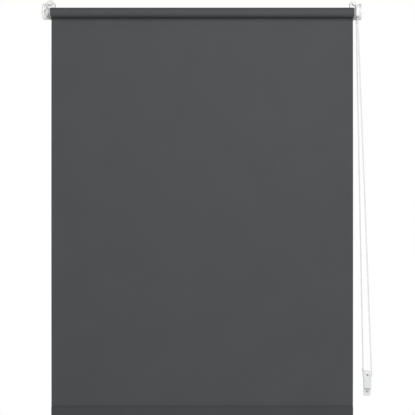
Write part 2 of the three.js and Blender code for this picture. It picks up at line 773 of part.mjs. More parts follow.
function chain() {
  const topClear = clearOf(wheelRim, wheelPitch, BALL_RADIUS);
  const bottomClear = clearOf(guideRim, guidePitch, BALL_RADIUS);
  const strand = (name, top, bottom) => {
    const way = bottom.clone().sub(top);
    const length = way.length();
    way.normalize();
    const from = top.clone().addScaledVector(way, topClear);
    const to = top.clone().addScaledVector(way, length - bottomClear);
    const line = new THREE.LineCurve3(from, to);
    piece(name, tubeAlong(line, BALL_RADIUS, 8, 4), CHAIN_PLASTIC);
    return way;
  };
  const rearWay = strand("chain_rear_strand", rearTop, rearBottom);
  const frontWay = strand("chain_front_strand", frontTop, frontBottom);

  // Over each wheel only the link's thread is solid, in the slot under the balls.
  const onWheel = (angle) =>
    new THREE.Vector3(
      wheelX,
      axisY + wheelPitch * Math.cos(angle),
      axisZ + wheelPitch * Math.sin(angle),
    );
  const over = new THREE.CatmullRomCurve3([
    rearTop.clone().addScaledVector(rearWay, topClear - GAP),
    rearTop.clone().addScaledVector(rearWay, topClear / 2),
    ...arcPoints(onWheel, 0, Math.PI, 12),
    frontTop.clone().addScaledVector(frontWay, topClear / 2),
    frontTop.clone().addScaledVector(frontWay, topClear - GAP),
  ]);
  piece("chain_over_wheel", tubeAlong(over, THREAD_RADIUS, 6, 22), CHAIN_PLASTIC);

  const onGuide = (angle) =>
    new THREE.Vector3(
      guideX - guidePitch * Math.cos(angle),
      guideY,
      guideZ - guidePitch * Math.sin(angle),
    );
  const under = new THREE.CatmullRomCurve3([
    rearBottom.clone().addScaledVector(rearWay, GAP - bottomClear),
    rearBottom.clone().addScaledVector(rearWay, -bottomClear / 2),
    ...arcPoints(onGuide, 0, Math.PI, 12),
    frontBottom.clone().addScaledVector(frontWay, -bottomClear / 2),
    frontBottom.clone().addScaledVector(frontWay, GAP - bottomClear),
  ]);
  piece("chain_bottom_loop", tubeAlong(under, THREAD_RADIUS, 6, 22), CHAIN_PLASTIC);

  // The connector is a sleeve round the rear strand, just clear of the guide wheel.
  const bore = BALL_RADIUS + RUNNING;
  const outside = bore + CONNECTOR_WALL;
  const lift = clearOf(guideRim, guidePitch, outside) + CONNECTOR_LENGTH / 2;
  const half = CONNECTOR_LENGTH / 2;
  const sleeve = turned(ring(-half, half, bore, outside), SMALL_ROUND);
  const up = rearWay.clone().negate();
  const turn = new THREE.Quaternion().setFromUnitVectors(new THREE.Vector3(0, 1, 0), up);
  sleeve.applyQuaternion(turn);
  sleeve.translate(...rearBottom.clone().addScaledVector(up, lift).toArray());
  piece("chain_connector", solid(sleeve), CHAIN_PLASTIC);
}

// ---------------------------------------------------------------- tensioner

// The tensioner's outline in X and Z, from its wide mouth down to a given depth.
function tensionerOutline(depth) {
  const top = guideZ + TENSIONER_TOP;
  const share = (depth - TENSIONER_WAIST) / (TENSIONER_HEIGHT - TENSIONER_WAIST);
  const narrowing = (TENSIONER_WAIST_WIDTH - TENSIONER_FOOT_WIDTH) / 2;
  const halves = [
    [0, TENSIONER_TOP_WIDTH / 2],
    [TENSIONER_LIP, TENSIONER_TOP_WIDTH / 2],
    [TENSIONER_WAIST, TENSIONER_WAIST_WIDTH / 2],
    [depth, TENSIONER_WAIST_WIDTH / 2 - share * narrowing],
  ];
  const left = halves.map(([down, half]) => new THREE.Vector2(guideX - half, top - down));
  const right = halves.map(([down, half]) => new THREE.Vector2(guideX + half, top - down));
  return new THREE.Shape([...left, ...right.reverse()]);
}

// The first ball past the rear strand's end sets where the guide wheel's pockets lie.
function guidePhase() {
  const pitches = rearTop.distanceTo(rearBottom) / BALL_PITCH;
  const past = (Math.ceil(pitches) - pitches) * BALL_PITCH;
  return Math.PI - past / guidePitch;
}

function tensioner() {
  const frontBack = guideY - GUIDE_WIDTH / 2 - GAP;
  const frontFace = frontBack - TENSIONER_FRONT;
  const top = guideZ + TENSIONER_TOP;
  const coverBottom = top - TENSIONER_COVER_HEIGHT;
  const screwZ = top - TENSIONER_HEIGHT + WALL_SCREW_ABOVE_FOOT;
  const blockTop = guideZ - guidePitch - BALL_RADIUS - 2 * GAP;
  const axleHole = AXLE_RADIUS + RUNNING;
  const footHalf = TENSIONER_FOOT_WIDTH / 2;

  const foot = block(
    [guideX - footHalf, guideX + footHalf],
    [-TENSIONER_FOOT, -TENSIONER_BACK / 2],
    [top - TENSIONER_HEIGHT, coverBottom - GAP],
  );
  const back = cut(
    join(extrudedAlongY(tensionerOutline(TENSIONER_HEIGHT), -TENSIONER_BACK, 0), foot),
    turnedAlongY(guideX, guideZ, rod(-TENSIONER_BACK - PAST, -TENSIONER_BACK / 2, axleHole)),
    turnedAlongY(guideX, screwZ, rod(-TENSIONER_FOOT - PAST, PAST, WALL_SCREW_RADIUS + RUNNING)),
  );
  piece("tensioner_back", back, CLEAR_PLASTIC);

  const spacer = block(
    [guideX - footHalf, guideX + footHalf],
    [frontBack - PAST, -TENSIONER_BACK - GAP],
    [coverBottom, blockTop],
  );
  const cover = cut(
    join(
      extrudedAlongY(tensionerOutline(TENSIONER_COVER_HEIGHT), frontFace, frontBack),
      spacer,
    ),
    turnedAlongY(guideX, guideZ, rod(frontFace - PAST, frontBack + PAST, axleHole)),
  );
  piece("tensioner_cover", cover, CLEAR_PLASTIC);

  const wheel = ballWheel(GUIDE_POCKETS, GUIDE_WIDTH, axleHole, guidePhase());
  wheel.translate(guideX, guideY, guideZ);
  piece("guide_wheel", solid(wheel), WHITE_PLASTIC);

  const axle = rod(frontFace + GAP, -TENSIONER_BACK / 2 - GAP, AXLE_RADIUS);
  piece("guide_axle", turnedAlongY(guideX, guideZ, axle), STEEL);

  const underHead = -TENSIONER_FOOT - GAP;
  const screw = screwProfile(
    WALL_SCREW_REACH,
    underHead,
    underHead - WALL_SCREW_HEAD,
    WALL_SCREW_RADIUS,
    WALL_SCREW_HEAD_RADIUS,
  );
  piece("tensioner_screw", turnedAlongY(guideX, screwZ, screw), STEEL);
}

// ---------------------------------------------------------------- cloth and bottom bar

// An upright slot-shaped outline in Y and Z with round top and bottom.
function upright(depth, bottom, top, wall = 0) {
  const radius = depth / 2 - wall;
  const shape = new THREE.Shape();
  shape.moveTo(sheetMiddle + radius, bottom + wall + radius);
  shape.lineTo(sheetMiddle + radius, top - wall - radius);
  shape.absarc(sheetMiddle, top - wall - radius, radius, 0, Math.PI, false);
  shape.lineTo(sheetMiddle - radius, bottom + wall + radius);
  shape.absarc(sheetMiddle, bottom + wall + radius, radius, Math.PI, 2 * Math.PI, false);
  return shape;
}

function clothAndBar() {
  const sheet = block(
    [-tubeEnd, tubeEnd],
    [sheetBack - CLOTH_THICKNESS, sheetBack],
    [seamZ, sheetTop],
  );
  piece("fabric_sheet", sheet, CLOTH);

  const pocket = cut(
    extrudedAlongX(upright(HEM_DEPTH, hemBottom, hemTop), -tubeEnd, tubeEnd, 8),
    extrudedAlongX(upright(HEM_DEPTH, hemBottom, hemTop, HEM_WALL), -tubeEnd - PAST, tubeEnd + PAST, 8),
  );
  piece("hem_pocket", pocket, CLOTH);

  const barBottom = hemBottom + HEM_WALL + (HEM_DEPTH - BAR_DEPTH) / 2;
  const barTop = barBottom + BAR_HEIGHT;
  const capOuter = tubeEnd - BAR_INSET;
  const barEnd = capOuter - CAP_THICKNESS - GAP;
  const bar = cut(
    extrudedAlongX(upright(BAR_DEPTH, barBottom, barTop), -barEnd, barEnd, 6),
    extrudedAlongX(upright(BAR_DEPTH, barBottom, barTop, BAR_WALL), -barEnd - PAST, barEnd + PAST, 6),
  );
  piece("bottom_bar", bar, ALUMINIUM);

  [["left", -1], ["right", 1]].forEach(([name, sign]) => {
    const [lip0, lip1] = across(sign, capOuter - CAP_THICKNESS, capOuter);
    const [plug0, plug1] = across(sign, barEnd - CAP_PLUG, capOuter - CAP_THICKNESS / 2);
    const cap = join(
      extrudedAlongX(upright(BAR_DEPTH, barBottom, barTop), lip0, lip1, 6),
      extrudedAlongX(upright(BAR_DEPTH, barBottom, barTop, BAR_WALL + GAP), plug0, plug1, 6),
    );
    piece(`bar_end_cap_${name}`, cap, GREY_PLASTIC);
  });
}

// ---------------------------------------------------------------- the blind

clamp("left", -1);
clamp("right", 1);
bracket("left", -1, idlePlateInner, idlePlateOuter, PIN_RADIUS + RUNNING, collarWindow());
bracket("right", 1, drivePlateInner, drivePlateOuter, SCREW_RADIUS + RUNNING);
covers();
chainGuard();
roller();
idleEnd();
driveEnd();
chain();
tensioner();
clothAndBar();

export default blind;
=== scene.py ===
# %% [markdown]
# # A roller blind on two clamps
#
# The blind hangs from two plastic clamps that grip the top edge of a window sash. A thin tube
# carries the cloth between two end brackets, and an endless ball chain turns it at the right. The
# chain runs down round a small guide wheel in a housing on the wall. The mechanical model comes in
# already packed, and this file gives it its finished surfaces: cloth, moulded plastic, rubber and
# metal. Lengths are metres, X runs to the right, Y towards the window and Z up.

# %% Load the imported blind
import json
import math

import bpy
from mathutils import Matrix, Vector


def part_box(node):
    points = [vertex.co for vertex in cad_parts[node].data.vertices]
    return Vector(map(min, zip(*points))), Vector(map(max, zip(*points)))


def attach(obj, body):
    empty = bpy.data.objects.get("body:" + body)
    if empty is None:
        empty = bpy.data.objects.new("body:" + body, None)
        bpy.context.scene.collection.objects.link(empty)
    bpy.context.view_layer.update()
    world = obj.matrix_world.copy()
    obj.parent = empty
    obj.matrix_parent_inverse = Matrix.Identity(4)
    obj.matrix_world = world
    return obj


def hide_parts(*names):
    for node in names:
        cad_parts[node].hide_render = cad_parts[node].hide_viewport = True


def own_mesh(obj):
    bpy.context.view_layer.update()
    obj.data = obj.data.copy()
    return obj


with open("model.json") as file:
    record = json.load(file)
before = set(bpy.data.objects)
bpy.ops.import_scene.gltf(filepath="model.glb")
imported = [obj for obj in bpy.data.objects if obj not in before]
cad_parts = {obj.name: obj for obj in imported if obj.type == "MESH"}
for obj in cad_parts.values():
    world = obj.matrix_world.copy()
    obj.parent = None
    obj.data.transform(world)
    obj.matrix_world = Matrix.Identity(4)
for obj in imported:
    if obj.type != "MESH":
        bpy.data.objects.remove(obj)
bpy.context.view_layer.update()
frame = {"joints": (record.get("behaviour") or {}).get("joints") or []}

# %% [markdown]
# ## The places that everything is measured from
#
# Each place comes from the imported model, so a finished piece fits the part that it stands for with
# no fitting by eye. The joints give the axes that things turn about, and the box of a part gives
# its edges.

# %% Read the axes and the main edges
def joint(name):
    """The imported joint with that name."""
    return next(each for each in frame["joints"] if each["name"] == name)


def middle_of(node):
    """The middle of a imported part's box."""
    low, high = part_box(node)
    return (low + high) / 2


AXIS = Vector(joint("roll_spin")["pos_m"])
GUIDE = Vector(joint("guide_spin")["pos_m"])
CLAMP_SCREW = Vector(joint("right_screw_turn")["pos_m"])
ROLL_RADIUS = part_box("fabric_roll")[1].z - AXIS.z
CLOTH_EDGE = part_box("fabric_sheet")[1].x
CLOTH_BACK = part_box("fabric_sheet")[1].y
SEAM_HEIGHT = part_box("fabric_sheet")[0].z
print("roll radius", round(ROLL_RADIUS * 1000, 2), "mm")
print("cloth width", round(2000 * CLOTH_EDGE, 1), "mm")

# %% [markdown]
# ## Camera
#
# The blind is seen square on, from two and a half metres in front of the roller and level with
# the middle of the drop. That far away the roller's ends show only a little of their inner sides. A
# closer camera with a wider lens would frame the same width but open those sides up too much.

# %% Place the camera
VIEW_DISTANCE = 2.5
VIEW_WIDTH = 1.0441
VIEW_RIGHT = 0.0134
VIEW_HEIGHT = -0.514

bpy.ops.object.camera_add(
    location=(VIEW_RIGHT, AXIS.y - VIEW_DISTANCE, VIEW_HEIGHT), rotation=(math.pi / 2, 0, 0)
)
camera = bpy.context.active_object
camera.name = "camera"
camera.data.angle = 2 * math.atan(VIEW_WIDTH / 2 / VIEW_DISTANCE)
bpy.context.scene.camera = camera
print("The camera sees", round(math.degrees(camera.data.angle), 1), "degrees")

# %% [markdown]
# ## Arithmetic with the sockets of a material
#
# A pattern such as a weave is a formula of the place on the cloth. Wired by hand it takes a dozen
# Math nodes. Here a socket is wrapped in a small class whose plus, minus and times add those nodes,
# so the formula can be written as it is read. One method adds any other node.

# %% Write the socket class and the material class
class Reading:
    """The output of a node, with the arithmetic that the finishes use."""

    def __init__(self, paint, socket):
        self.paint = paint
        self.socket = socket

    def math(self, operation, *values):
        """One Math node on these values."""
        return self.paint.node("ShaderNodeMath", {"operation": operation}, dict(enumerate(values)))

    def __add__(self, other):
        return self.math("ADD", self, other)

    __radd__ = __add__

    def __mul__(self, other):
        return self.math("MULTIPLY", self, other)

    __rmul__ = __mul__

    def __sub__(self, other):
        return self.math("SUBTRACT", self, other)

    def __rsub__(self, other):
        return self.math("SUBTRACT", other, self)

    def sine(self):
        return self.math("SINE", self)


class Paint:
    """A material under construction: its nodes, and the shader that they feed."""

    def __init__(self, name, uniform):
        self.material = bpy.data.materials.new(name)
        self.material.use_nodes = True
        self.tree = self.material.node_tree
        self.shader = self.tree.nodes["Principled BSDF"]
        for socket, value in uniform.items():
            self.shader.inputs[socket].default_value = value

    def node(self, kind, settings=None, inputs=None, output=0):
        """Adds a node: its settings first, then the values or links of its sockets."""
        made = self.tree.nodes.new(kind)
        for name, value in (settings or {}).items():
            setattr(made, name, value)
        for name, value in (inputs or {}).items():
            if isinstance(value, Reading):
                self.tree.links.new(value.socket, made.inputs[name])
            else:
                made.inputs[name].default_value = value
        return Reading(self, made.outputs[output])

    def place(self):
        """Where a point lies on the object."""
        return self.node("ShaderNodeTexCoord", output="Object")

    def along(self, place):
        """The three parts of a place."""
        split = self.node("ShaderNodeSeparateXYZ", inputs={0: place})
        return [Reading(self, output) for output in split.socket.node.outputs]

    def noise(self, place, scale, detail=2.0, stretch=(1, 1, 1)):
        """A soft random pattern, from 0 to 1, that may be stretched along the axes."""
        stretched = self.node("ShaderNodeMapping", inputs={"Vector": place, "Scale": stretch})
        inputs = {"Vector": stretched, "Scale": scale, "Detail": detail}
        return self.node("ShaderNodeTexNoise", inputs=inputs)

    def mix(self, share, first, second):
        """One colour turning into another as share goes from 0 to 1."""
        return self.node("ShaderNodeMix", {"data_type": "RGBA"}, {0: share, 6: first, 7: second}, 2)

    def bump(self, height, distance, strength=1.0):
        """Relief: a height from 0 to 1 that stands for distance metres."""
        inputs = {"Height": height, "Distance": distance, "Strength": strength}
        return self.node("ShaderNodeBump", inputs=inputs)

    def feed(self, **readings):
        """Links readings to the shader's sockets."""
        for name, reading in readings.items():
            self.tree.links.new(reading.socket, self.shader.inputs[name.replace("_", " ")])


# %% [markdown]
# ## Moulded plastic
#
# The clamps, brackets and covers are injection-moulded. The steel mould was spark-eroded, which
# leaves a fine even grain, and the melt cools with faint clouds in its gloss. A plain white shader
# would look like paper, so the grain goes into the relief, and the clouds into gloss and colour.

# %% Mix the plastics
def plastic(name, light, dark, gloss, grain=0.00004, **uniform):
    """A moulded plastic with a fine grain, from a light to a slightly darker tone."""
    paint = Paint(name, {"Specular IOR Level": 0.5, **uniform})
    place = paint.place()
    clouds = paint.noise(place, 60)
    pores = paint.noise(place, 2200, 3.0)
    paint.feed(
        Base_Color=paint.mix(clouds, (*light, 1), (*dark, 1)),
        Roughness=gloss + 0.14 * clouds + 0.06 * pores,
        Normal=paint.bump(pores, grain, 0.6),
    )
    return paint


white_plastic = plastic("moulded_white", (0.9, 0.9, 0.885), (0.82, 0.82, 0.8), 0.3)
chain_plastic = plastic("chain_white", (0.86, 0.86, 0.85), (0.78, 0.78, 0.765), 0.22)
grey_plastic = plastic("moulded_grey", (0.5, 0.505, 0.51), (0.42, 0.425, 0.43), 0.35)
milky_plastic = plastic(
    "milky_clear", (0.97, 0.975, 0.97), (0.93, 0.94, 0.935), 0.14,
    **{"Transmission Weight": 0.18, "IOR": 1.46},
)
print("plastics:", [paint.material.name for paint in (white_plastic, chain_plastic, grey_plastic)])

# %% [markdown]
# ## Cloth
#
# The cloth is a tight plain weave of charcoal polyester, stiffened so that it rolls flat. Each
# thread goes over one and under the next, which gives rows of small pillows. Two sine waves
# multiplied give that checkerboard. Real yarn is uneven, so long thin streaks run with the threads
# The pattern reads the cloth's own map, in metres, so that it follows the cloth round the
# roll and round the hem. The hem is two layers pressed together. Its cloth is the same weave mixed
# darker, which is painted shade.

# %% Weave the cloth
THREAD_PITCH = 0.0006

def woven(name, light, dark):
    """Charcoal plain weave that follows the map of the piece, in metres."""
    uniform = {"Sheen Weight": 0.04, "Sheen Roughness": 0.5, "Specular IOR Level": 0.15}
    paint = Paint(name, uniform)
    place = paint.node("ShaderNodeUVMap", {"uv_map": "threads"})
    across, down, _ = paint.along(place)
    turn = 2 * math.pi / THREAD_PITCH
    pillows = 0.5 + 0.5 * ((turn * across).sine() * (turn * down).sine())
    warp = paint.noise(place, 220, 3.0, (6, 0.12, 1))
    weft = paint.noise(place, 220, 3.0, (0.12, 6, 1))
    clouds = paint.noise(place, 9, 3.0)
    streaks = 0.5 * warp + 0.5 * weft
    tone = 0.3 * pillows + 0.5 * streaks + 0.2 * clouds
    paint.feed(
        Base_Color=paint.mix(tone, (*dark, 1), (*light, 1)),
        Roughness=0.98 - 0.16 * streaks,
        Normal=paint.bump(0.75 * pillows + 0.25 * streaks, 0.00018, 0.7),
    )
    return paint


cloth = woven("charcoal_cloth", (0.097, 0.098, 0.101), (0.052, 0.0525, 0.0545))
# The hem's copy of the weave is the same cloth made darker: painted shade on the hem.
hem_cloth_painted_shade = woven("hem_cloth_painted_shade", (0.083, 0.084, 0.087), (0.042, 0.0425, 0.0445))
print("threads per centimetre:", round(0.02 / THREAD_PITCH))

# %% [markdown]
# ## Metals, rubber and tape
#
# The tube and screws are zinc-plated steel, which has faint cloudy spangles. The springs are bare
# spring steel, darker and more polished. The bottom bar is extruded aluminium, drawn along its
# length, so its scratches all run that way. The pads are dull rubber that picks up a little dust. The
# tape that holds the cloth to the tube is a paper-backed adhesive with a slight crepe.

# %% Mix the metals, the rubber and the tape
def metal(name, light, dark, gloss, stretch, scale):
    """A metal whose scratches or spangles are stretched along an axis."""
    paint = Paint(name, {"Metallic": 1.0})
    place = paint.place()
    marks = paint.noise(place, scale, 4.0, stretch)
    haze = paint.noise(place, 40)
    paint.feed(
        Base_Color=paint.mix(marks, (*dark, 1), (*light, 1)),
        Roughness=gloss + 0.2 * marks + 0.12 * haze,
        Normal=paint.bump(marks, 0.00003, 0.5),
    )
    return paint


EVEN = (1, 1, 1)
DRAWN_ALONG_X = (0.02, 1, 1)
zinc_steel = metal("zinc_steel", (0.66, 0.67, 0.68), (0.5, 0.51, 0.52), 0.22, EVEN, 500)
spring_steel = metal("spring_steel", (0.55, 0.56, 0.57), (0.36, 0.37, 0.38), 0.18, EVEN, 900)
drawn_aluminium = metal(
    "drawn_aluminium", (0.75, 0.76, 0.77), (0.6, 0.61, 0.62), 0.25, DRAWN_ALONG_X, 900
)


def dull(name, light, dark, scale, depth, roughness):
    """A soft dull surface with a fine pitted grain and dusty patches."""
    paint = Paint(name, {"Specular IOR Level": 0.3})
    place = paint.place()
    pits = paint.noise(place, scale, 4.0)
    dust = paint.noise(place, 130, 3.0)
    paint.feed(
        Base_Color=paint.mix(0.6 * dust + 0.4 * pits, (*dark, 1), (*light, 1)),
        Roughness=roughness + 0.1 * dust,
        Normal=paint.bump(pits, depth, 0.8),
    )
    return paint


grip_rubber = dull("grip_rubber", (0.19, 0.19, 0.19), (0.1, 0.1, 0.1), 1600, 0.0001, 0.8)
crepe_tape = dull("crepe_tape", (0.78, 0.74, 0.62), (0.66, 0.62, 0.5), 700, 0.0001, 0.6)
print("materials so far:", len(bpy.data.materials))

# %% [markdown]
# ## Working at a bench
#
# Every operator acts on whatever is selected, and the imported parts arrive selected. So each job
# starts with a clean bench: out of edit mode, nothing selected, then only the piece at hand.

# %% Lay out the bench tools
def only(piece=None):
    """Leaves edit mode and selects this piece alone, or nothing."""
    if bpy.context.mode != "OBJECT":
        bpy.ops.object.mode_set(mode="OBJECT")
    bpy.ops.object.select_all(action="DESELECT")
    if piece:
        piece.select_set(True)
        bpy.context.view_layer.objects.active = piece


def edit(piece, kind="FACE", chosen=None):
    """Opens a piece for editing with only its chosen vertices, edges or faces selected."""
    only(piece)
    bpy.ops.object.mode_set(mode="EDIT")
    bpy.ops.mesh.select_mode(type=kind)
    bpy.ops.mesh.select_all(action="DESELECT")
    bpy.ops.object.mode_set(mode="OBJECT")
    mesh = piece.data
    for part in {"VERT": mesh.vertices, "EDGE": mesh.edges, "FACE": mesh.polygons}[kind]:
        part.select = chosen is None or chosen(part)
    bpy.ops.object.mode_set(mode="EDIT")


def settle(name):
    """Names the new piece and moves its place, turn and size into its mesh."""
    piece = bpy.context.active_object
    bpy.ops.object.transform_apply(location=True, rotation=True, scale=True)
    piece.name = name
    piece.data.name = name
    return piece


SAME_PLACE = 0.000002


def outwards(piece):
    """Merges doubled vertices and turns every face outwards."""
    edit(piece)
    bpy.ops.mesh.remove_doubles(threshold=SAME_PLACE)
    bpy.ops.mesh.delete_loose(use_verts=True, use_edges=True, use_faces=False)
    bpy.ops.mesh.select_all(action="SELECT")
    bpy.ops.mesh.normals_make_consistent(inside=False)
    only(piece)
    return piece


def apply(piece, kind, **settings):
    """Adds a modifier with these settings and applies it."""
    only(piece)
    modifier = piece.modifiers.new("work", kind)
    for name, value in settings.items():
        setattr(modifier, name, value)
    bpy.ops.object.modifier_apply(modifier=modifier.name)
    return piece


print("The bench is ready")

# %% [markdown]
# ## Shapes to start from
#
# A box starts as a cube. An outline starts as a circle with one corner for each point of the shape.
# Filled and extruded it becomes a flat moulding, and spun round an axis it becomes a turned part.
# Cuts and unions then work as in a workshop: a tool shape is taken away or welded on.

# %% Write the starting shapes
def block(name, low, high):
    """A box between two corners."""
    only()
    middle = [(a + b) / 2 for a, b in zip(low, high)]
    sides = [b - a for a, b in zip(low, high)]
    bpy.ops.mesh.primitive_cube_add(size=1, location=middle, scale=sides)
    return settle(name)


def outline(name, points):
    """A closed line through these points."""
    only()
    bpy.ops.mesh.primitive_circle_add(vertices=len(points), radius=0.01)
    piece = settle(name)
    for vertex, point in zip(piece.data.vertices, points):
        vertex.co = point
    return piece


def moulding(name, points, depth):
    """A flat outline filled and extruded by the vector depth."""
    piece = outline(name, points)
    edit(piece, "VERT")
    bpy.ops.mesh.edge_face_add()
    bpy.ops.mesh.extrude_region_move(TRANSFORM_OT_translate={"value": depth})
    return outwards(piece)


def turned(name, profile, steps=48, centre=AXIS, axis=(1, 0, 0)):
    """A closed profile spun a full turn round an axis through centre.

    Each point of the profile is (distance along the axis, radius).
    """
    along = Vector(axis)
    side = Vector((0, 1, 0)) if abs(along.y) < 0.5 else Vector((1, 0, 0))
    side = (side - along * side.dot(along)).normalized()
    start = Vector(centre) - along * Vector(centre).dot(along)
    piece = outline(name, [start + along * at + side * radius for at, radius in profile])
    edit(piece, "VERT")
    bpy.ops.mesh.spin(steps=steps, angle=2 * math.pi, center=centre, axis=axis)
    return outwards(piece)


def arc(middle, radius, start, end, steps):
    """Points (a, b) round part of a circle, with angles in degrees."""
    turns = [math.radians(start + (end - start) * i / steps) for i in range(steps + 1)]
    return [(middle[0] + radius * math.cos(a), middle[1] + radius * math.sin(a)) for a in turns]


def rod(start, end, radius):
    """The profile of a solid rod."""
    return [(start, 0), (start, radius), (end, radius), (end, 0)]


def chamfered_rod(start, end, radius, chamfer):
    """The profile of a solid rod with its end edges taken off."""
    return [
        (start, 0),
        (start, radius - chamfer),
        (start + chamfer, radius),
        (end - chamfer, radius),
        (end, radius - chamfer),
        (end, 0),
    ]


def work_with(operation, piece, tools):
    """Cuts tools from a piece or welds them onto it."""
    for tool in tools:
        apply(piece, "BOOLEAN", operation=operation, object=tool, solver="EXACT")
        bpy.data.objects.remove(tool)
    return piece


CLEAR = 0.001
FAR = 0.01


def cut(piece, *tools):
    """Takes the tools away. Each stands at least CLEAR or FAR past the faces that it opens."""
    return work_with("DIFFERENCE", piece, tools)


def weld(piece, *tools):
    """Joins the tools to the piece. Each reaches a little into it, so that they really meet."""
    return work_with("UNION", piece, tools)


def soften(piece, width, angle=35):
    """Rounds the edges sharper than angle and smooths the shading over the gentle ones."""
    apply(
        piece, "BEVEL", width=width, segments=2, limit_method="ANGLE",
        angle_limit=math.radians(angle), use_clamp_overlap=True,
    )
    bpy.ops.object.shade_smooth_by_angle(angle=math.radians(32))
    return piece


def done(piece, paint, body, slot, *nodes, smooth=None):
    """Gives a finished piece its finish, the body that it moves with and the parts it replaces."""
    piece.data.materials.clear()
    piece.data.materials.append(paint.material)
    if smooth:
        only(piece)
        bpy.ops.object.shade_smooth_by_angle(angle=math.radians(smooth))
    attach(piece, body)
    if nodes:
        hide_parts(*nodes)
    size = [round(side * 1000, 1) for side in piece.dimensions]
    print(f"{piece.name}: {size} mm, {len(piece.data.polygons)} faces")
    return piece


print("Starting shapes: block, outline, moulding and turned")

# %% [markdown]
# ## Ball chain
#
# The chain is one endless loop of small plastic balls moulded onto a thread. It lies in the pockets
# of the drive wheel, runs down the back, round the guide wheel and up the front. Curve arrays can
# string balls on a path, but they drift from the pockets. Here one ball with its piece of thread is
# modelled, and a copy is set every six millimetres along the loop, so each ball sits in its pocket.
# Each thread reaches into the next ball and is closed there.

# %% Work out the way of the chain
BALL_PITCH = 0.006
BALL_RADIUS = 0.00225
THREAD_RADIUS = 0.0006
WHEEL_POCKETS = 12
GUIDE_POCKETS = 11


def pitch_radius(pockets):
    """The radius at which a ring of pockets is one ball pitch apart."""
    return BALL_PITCH / 2 / math.sin(math.pi / pockets)


WHEEL = middle_of("chain_wheel")
wheel_reach = pitch_radius(WHEEL_POCKETS)
guide_reach = pitch_radius(GUIDE_POCKETS)
rear_top = WHEEL + Vector((0, wheel_reach, 0))
front_top = WHEEL - Vector((0, wheel_reach, 0))
rear_bottom = GUIDE - Vector((guide_reach, 0, 0))
front_bottom = GUIDE + Vector((guide_reach, 0, 0))
rear_run = (rear_bottom - rear_top).length
front_run = (front_bottom - front_top).length
under_run = BALL_PITCH * GUIDE_POCKETS / 2
over_run = BALL_PITCH * WHEEL_POCKETS / 2
loop_length = rear_run + under_run + front_run + over_run
ball_count = round(loop_length / BALL_PITCH)
strand_up = (rear_top - rear_bottom).normalized()


def chain_point(way):
    """The point that lies this far along the loop, starting at the back of the drive wheel."""
    way %= loop_length
    if way < rear_run:
        return rear_top.lerp(rear_bottom, way / rear_run)
    way -= rear_run
    if way < under_run:
        turn = 2 * math.pi * way / BALL_PITCH / GUIDE_POCKETS
        return GUIDE + guide_reach * Vector((-math.cos(turn), 0, -math.sin(turn)))
    way -= under_run
    if way < front_run:
        return front_bottom.lerp(front_top, way / front_run)
    way -= front_run
    turn = 2 * math.pi * way / BALL_PITCH / WHEEL_POCKETS
    return WHEEL + wheel_reach * Vector((0, -math.cos(turn), math.sin(turn)))


print("The loop is", round(loop_length, 4), "m long and holds", ball_count, "balls")

# %% String the chain
only()
bpy.ops.mesh.primitive_uv_sphere_add(segments=8, ring_count=6, radius=BALL_RADIUS)
bead = settle("bead")
edit(bead, "VERT", lambda vertex: vertex.co.z > 0.99 * BALL_RADIUS)
bpy.ops.mesh.delete(type="VERT")
rim_height = 0.8 * BALL_RADIUS
edit(bead, "EDGE", lambda edge: min(bead.data.vertices[v].co.z for v in edge.vertices) > rim_height)
neck = THREAD_RADIUS / (BALL_RADIUS * math.sin(math.pi / 6))
neck_rise = 0.1 * BALL_RADIUS
thread_length = BALL_PITCH - 1.9 * BALL_RADIUS
bpy.ops.mesh.extrude_edges_move(TRANSFORM_OT_translate={"value": (0, 0, neck_rise)})
bpy.ops.transform.resize(value=(neck, neck, 1), center_override=(0, 0, BALL_RADIUS))
bpy.ops.mesh.extrude_edges_move(TRANSFORM_OT_translate={"value": (0, 0, thread_length)})
bpy.ops.mesh.edge_face_add()
only(bead)
bpy.ops.object.shade_smooth()

spacing = loop_length / ball_count
beads = []
for count in range(ball_count):
    here = chain_point(count * spacing)
    ahead = chain_point((count + 1) * spacing)
    turn = (ahead - here).to_track_quat("Z", "Y").to_matrix().to_4x4()
    mesh = bead.data.copy()
    mesh.transform(Matrix.Translation(here) @ turn)
    copy = bpy.data.objects.new("ball_chain", mesh)
    bpy.context.scene.collection.objects.link(copy)
    beads.append(copy)
bpy.data.objects.remove(bead)
only(beads[0])
for copy in beads:
    copy.select_set(True)
bpy.ops.object.join()
ball_chain = settle("ball_chain")
outwards(ball_chain)
CHAIN_NODES = ("chain_rear_strand", "chain_front_strand", "chain_over_wheel", "chain_bottom_loop")
done(ball_chain, chain_plastic, "root", "chain_plastic", *CHAIN_NODES)

# %% [markdown]
# ## Chain connector
#
# The chain's two ends meet in a small snap-on barrel. It is a little fatter than the balls, with a
# rounded rim at each end and a waist in the middle, so that fingers and the drive wheel feel it. It
# is turned round the rear strand and travels with it.

# %% Turn the connector
CONNECTOR = middle_of("chain_connector")
CONNECTOR_LENGTH = 0.007
CONNECTOR_RADIUS = 0.0033
CONNECTOR_BORE = 0.00255
RIM = 0.0007


def barrel(name, centre, axis):
    """A barrel with two rounded rims, a waist, and a bore for the balls."""
    start = Vector(centre).dot(Vector(axis)) - CONNECTOR_LENGTH / 2
    end = start + CONNECTOR_LENGTH
    waist = CONNECTOR_RADIUS - 0.45 * RIM
    profile = [
        (start, CONNECTOR_BORE),
        *arc((start + RIM, CONNECTOR_RADIUS - RIM), RIM, 180, 30, 6),
        (start + 2.5 * RIM, waist),
        (end - 2.5 * RIM, waist),
        *arc((end - RIM, CONNECTOR_RADIUS - RIM), RIM, 150, 0, 6),
        (end, CONNECTOR_BORE),
    ]
    return turned(name, profile, 32, centre, axis)


connector = barrel("connector_sleeve", CONNECTOR, strand_up)
done(connector, chain_plastic, "connector", "chain_plastic", "chain_connector", smooth=40)

GUARD_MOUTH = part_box("chain_guard")[0].z
exit_way = AXIS.z - GUARD_MOUTH
chain_point(exit_way)
[chain_point(count * spacing) for count in range(ball_count)]

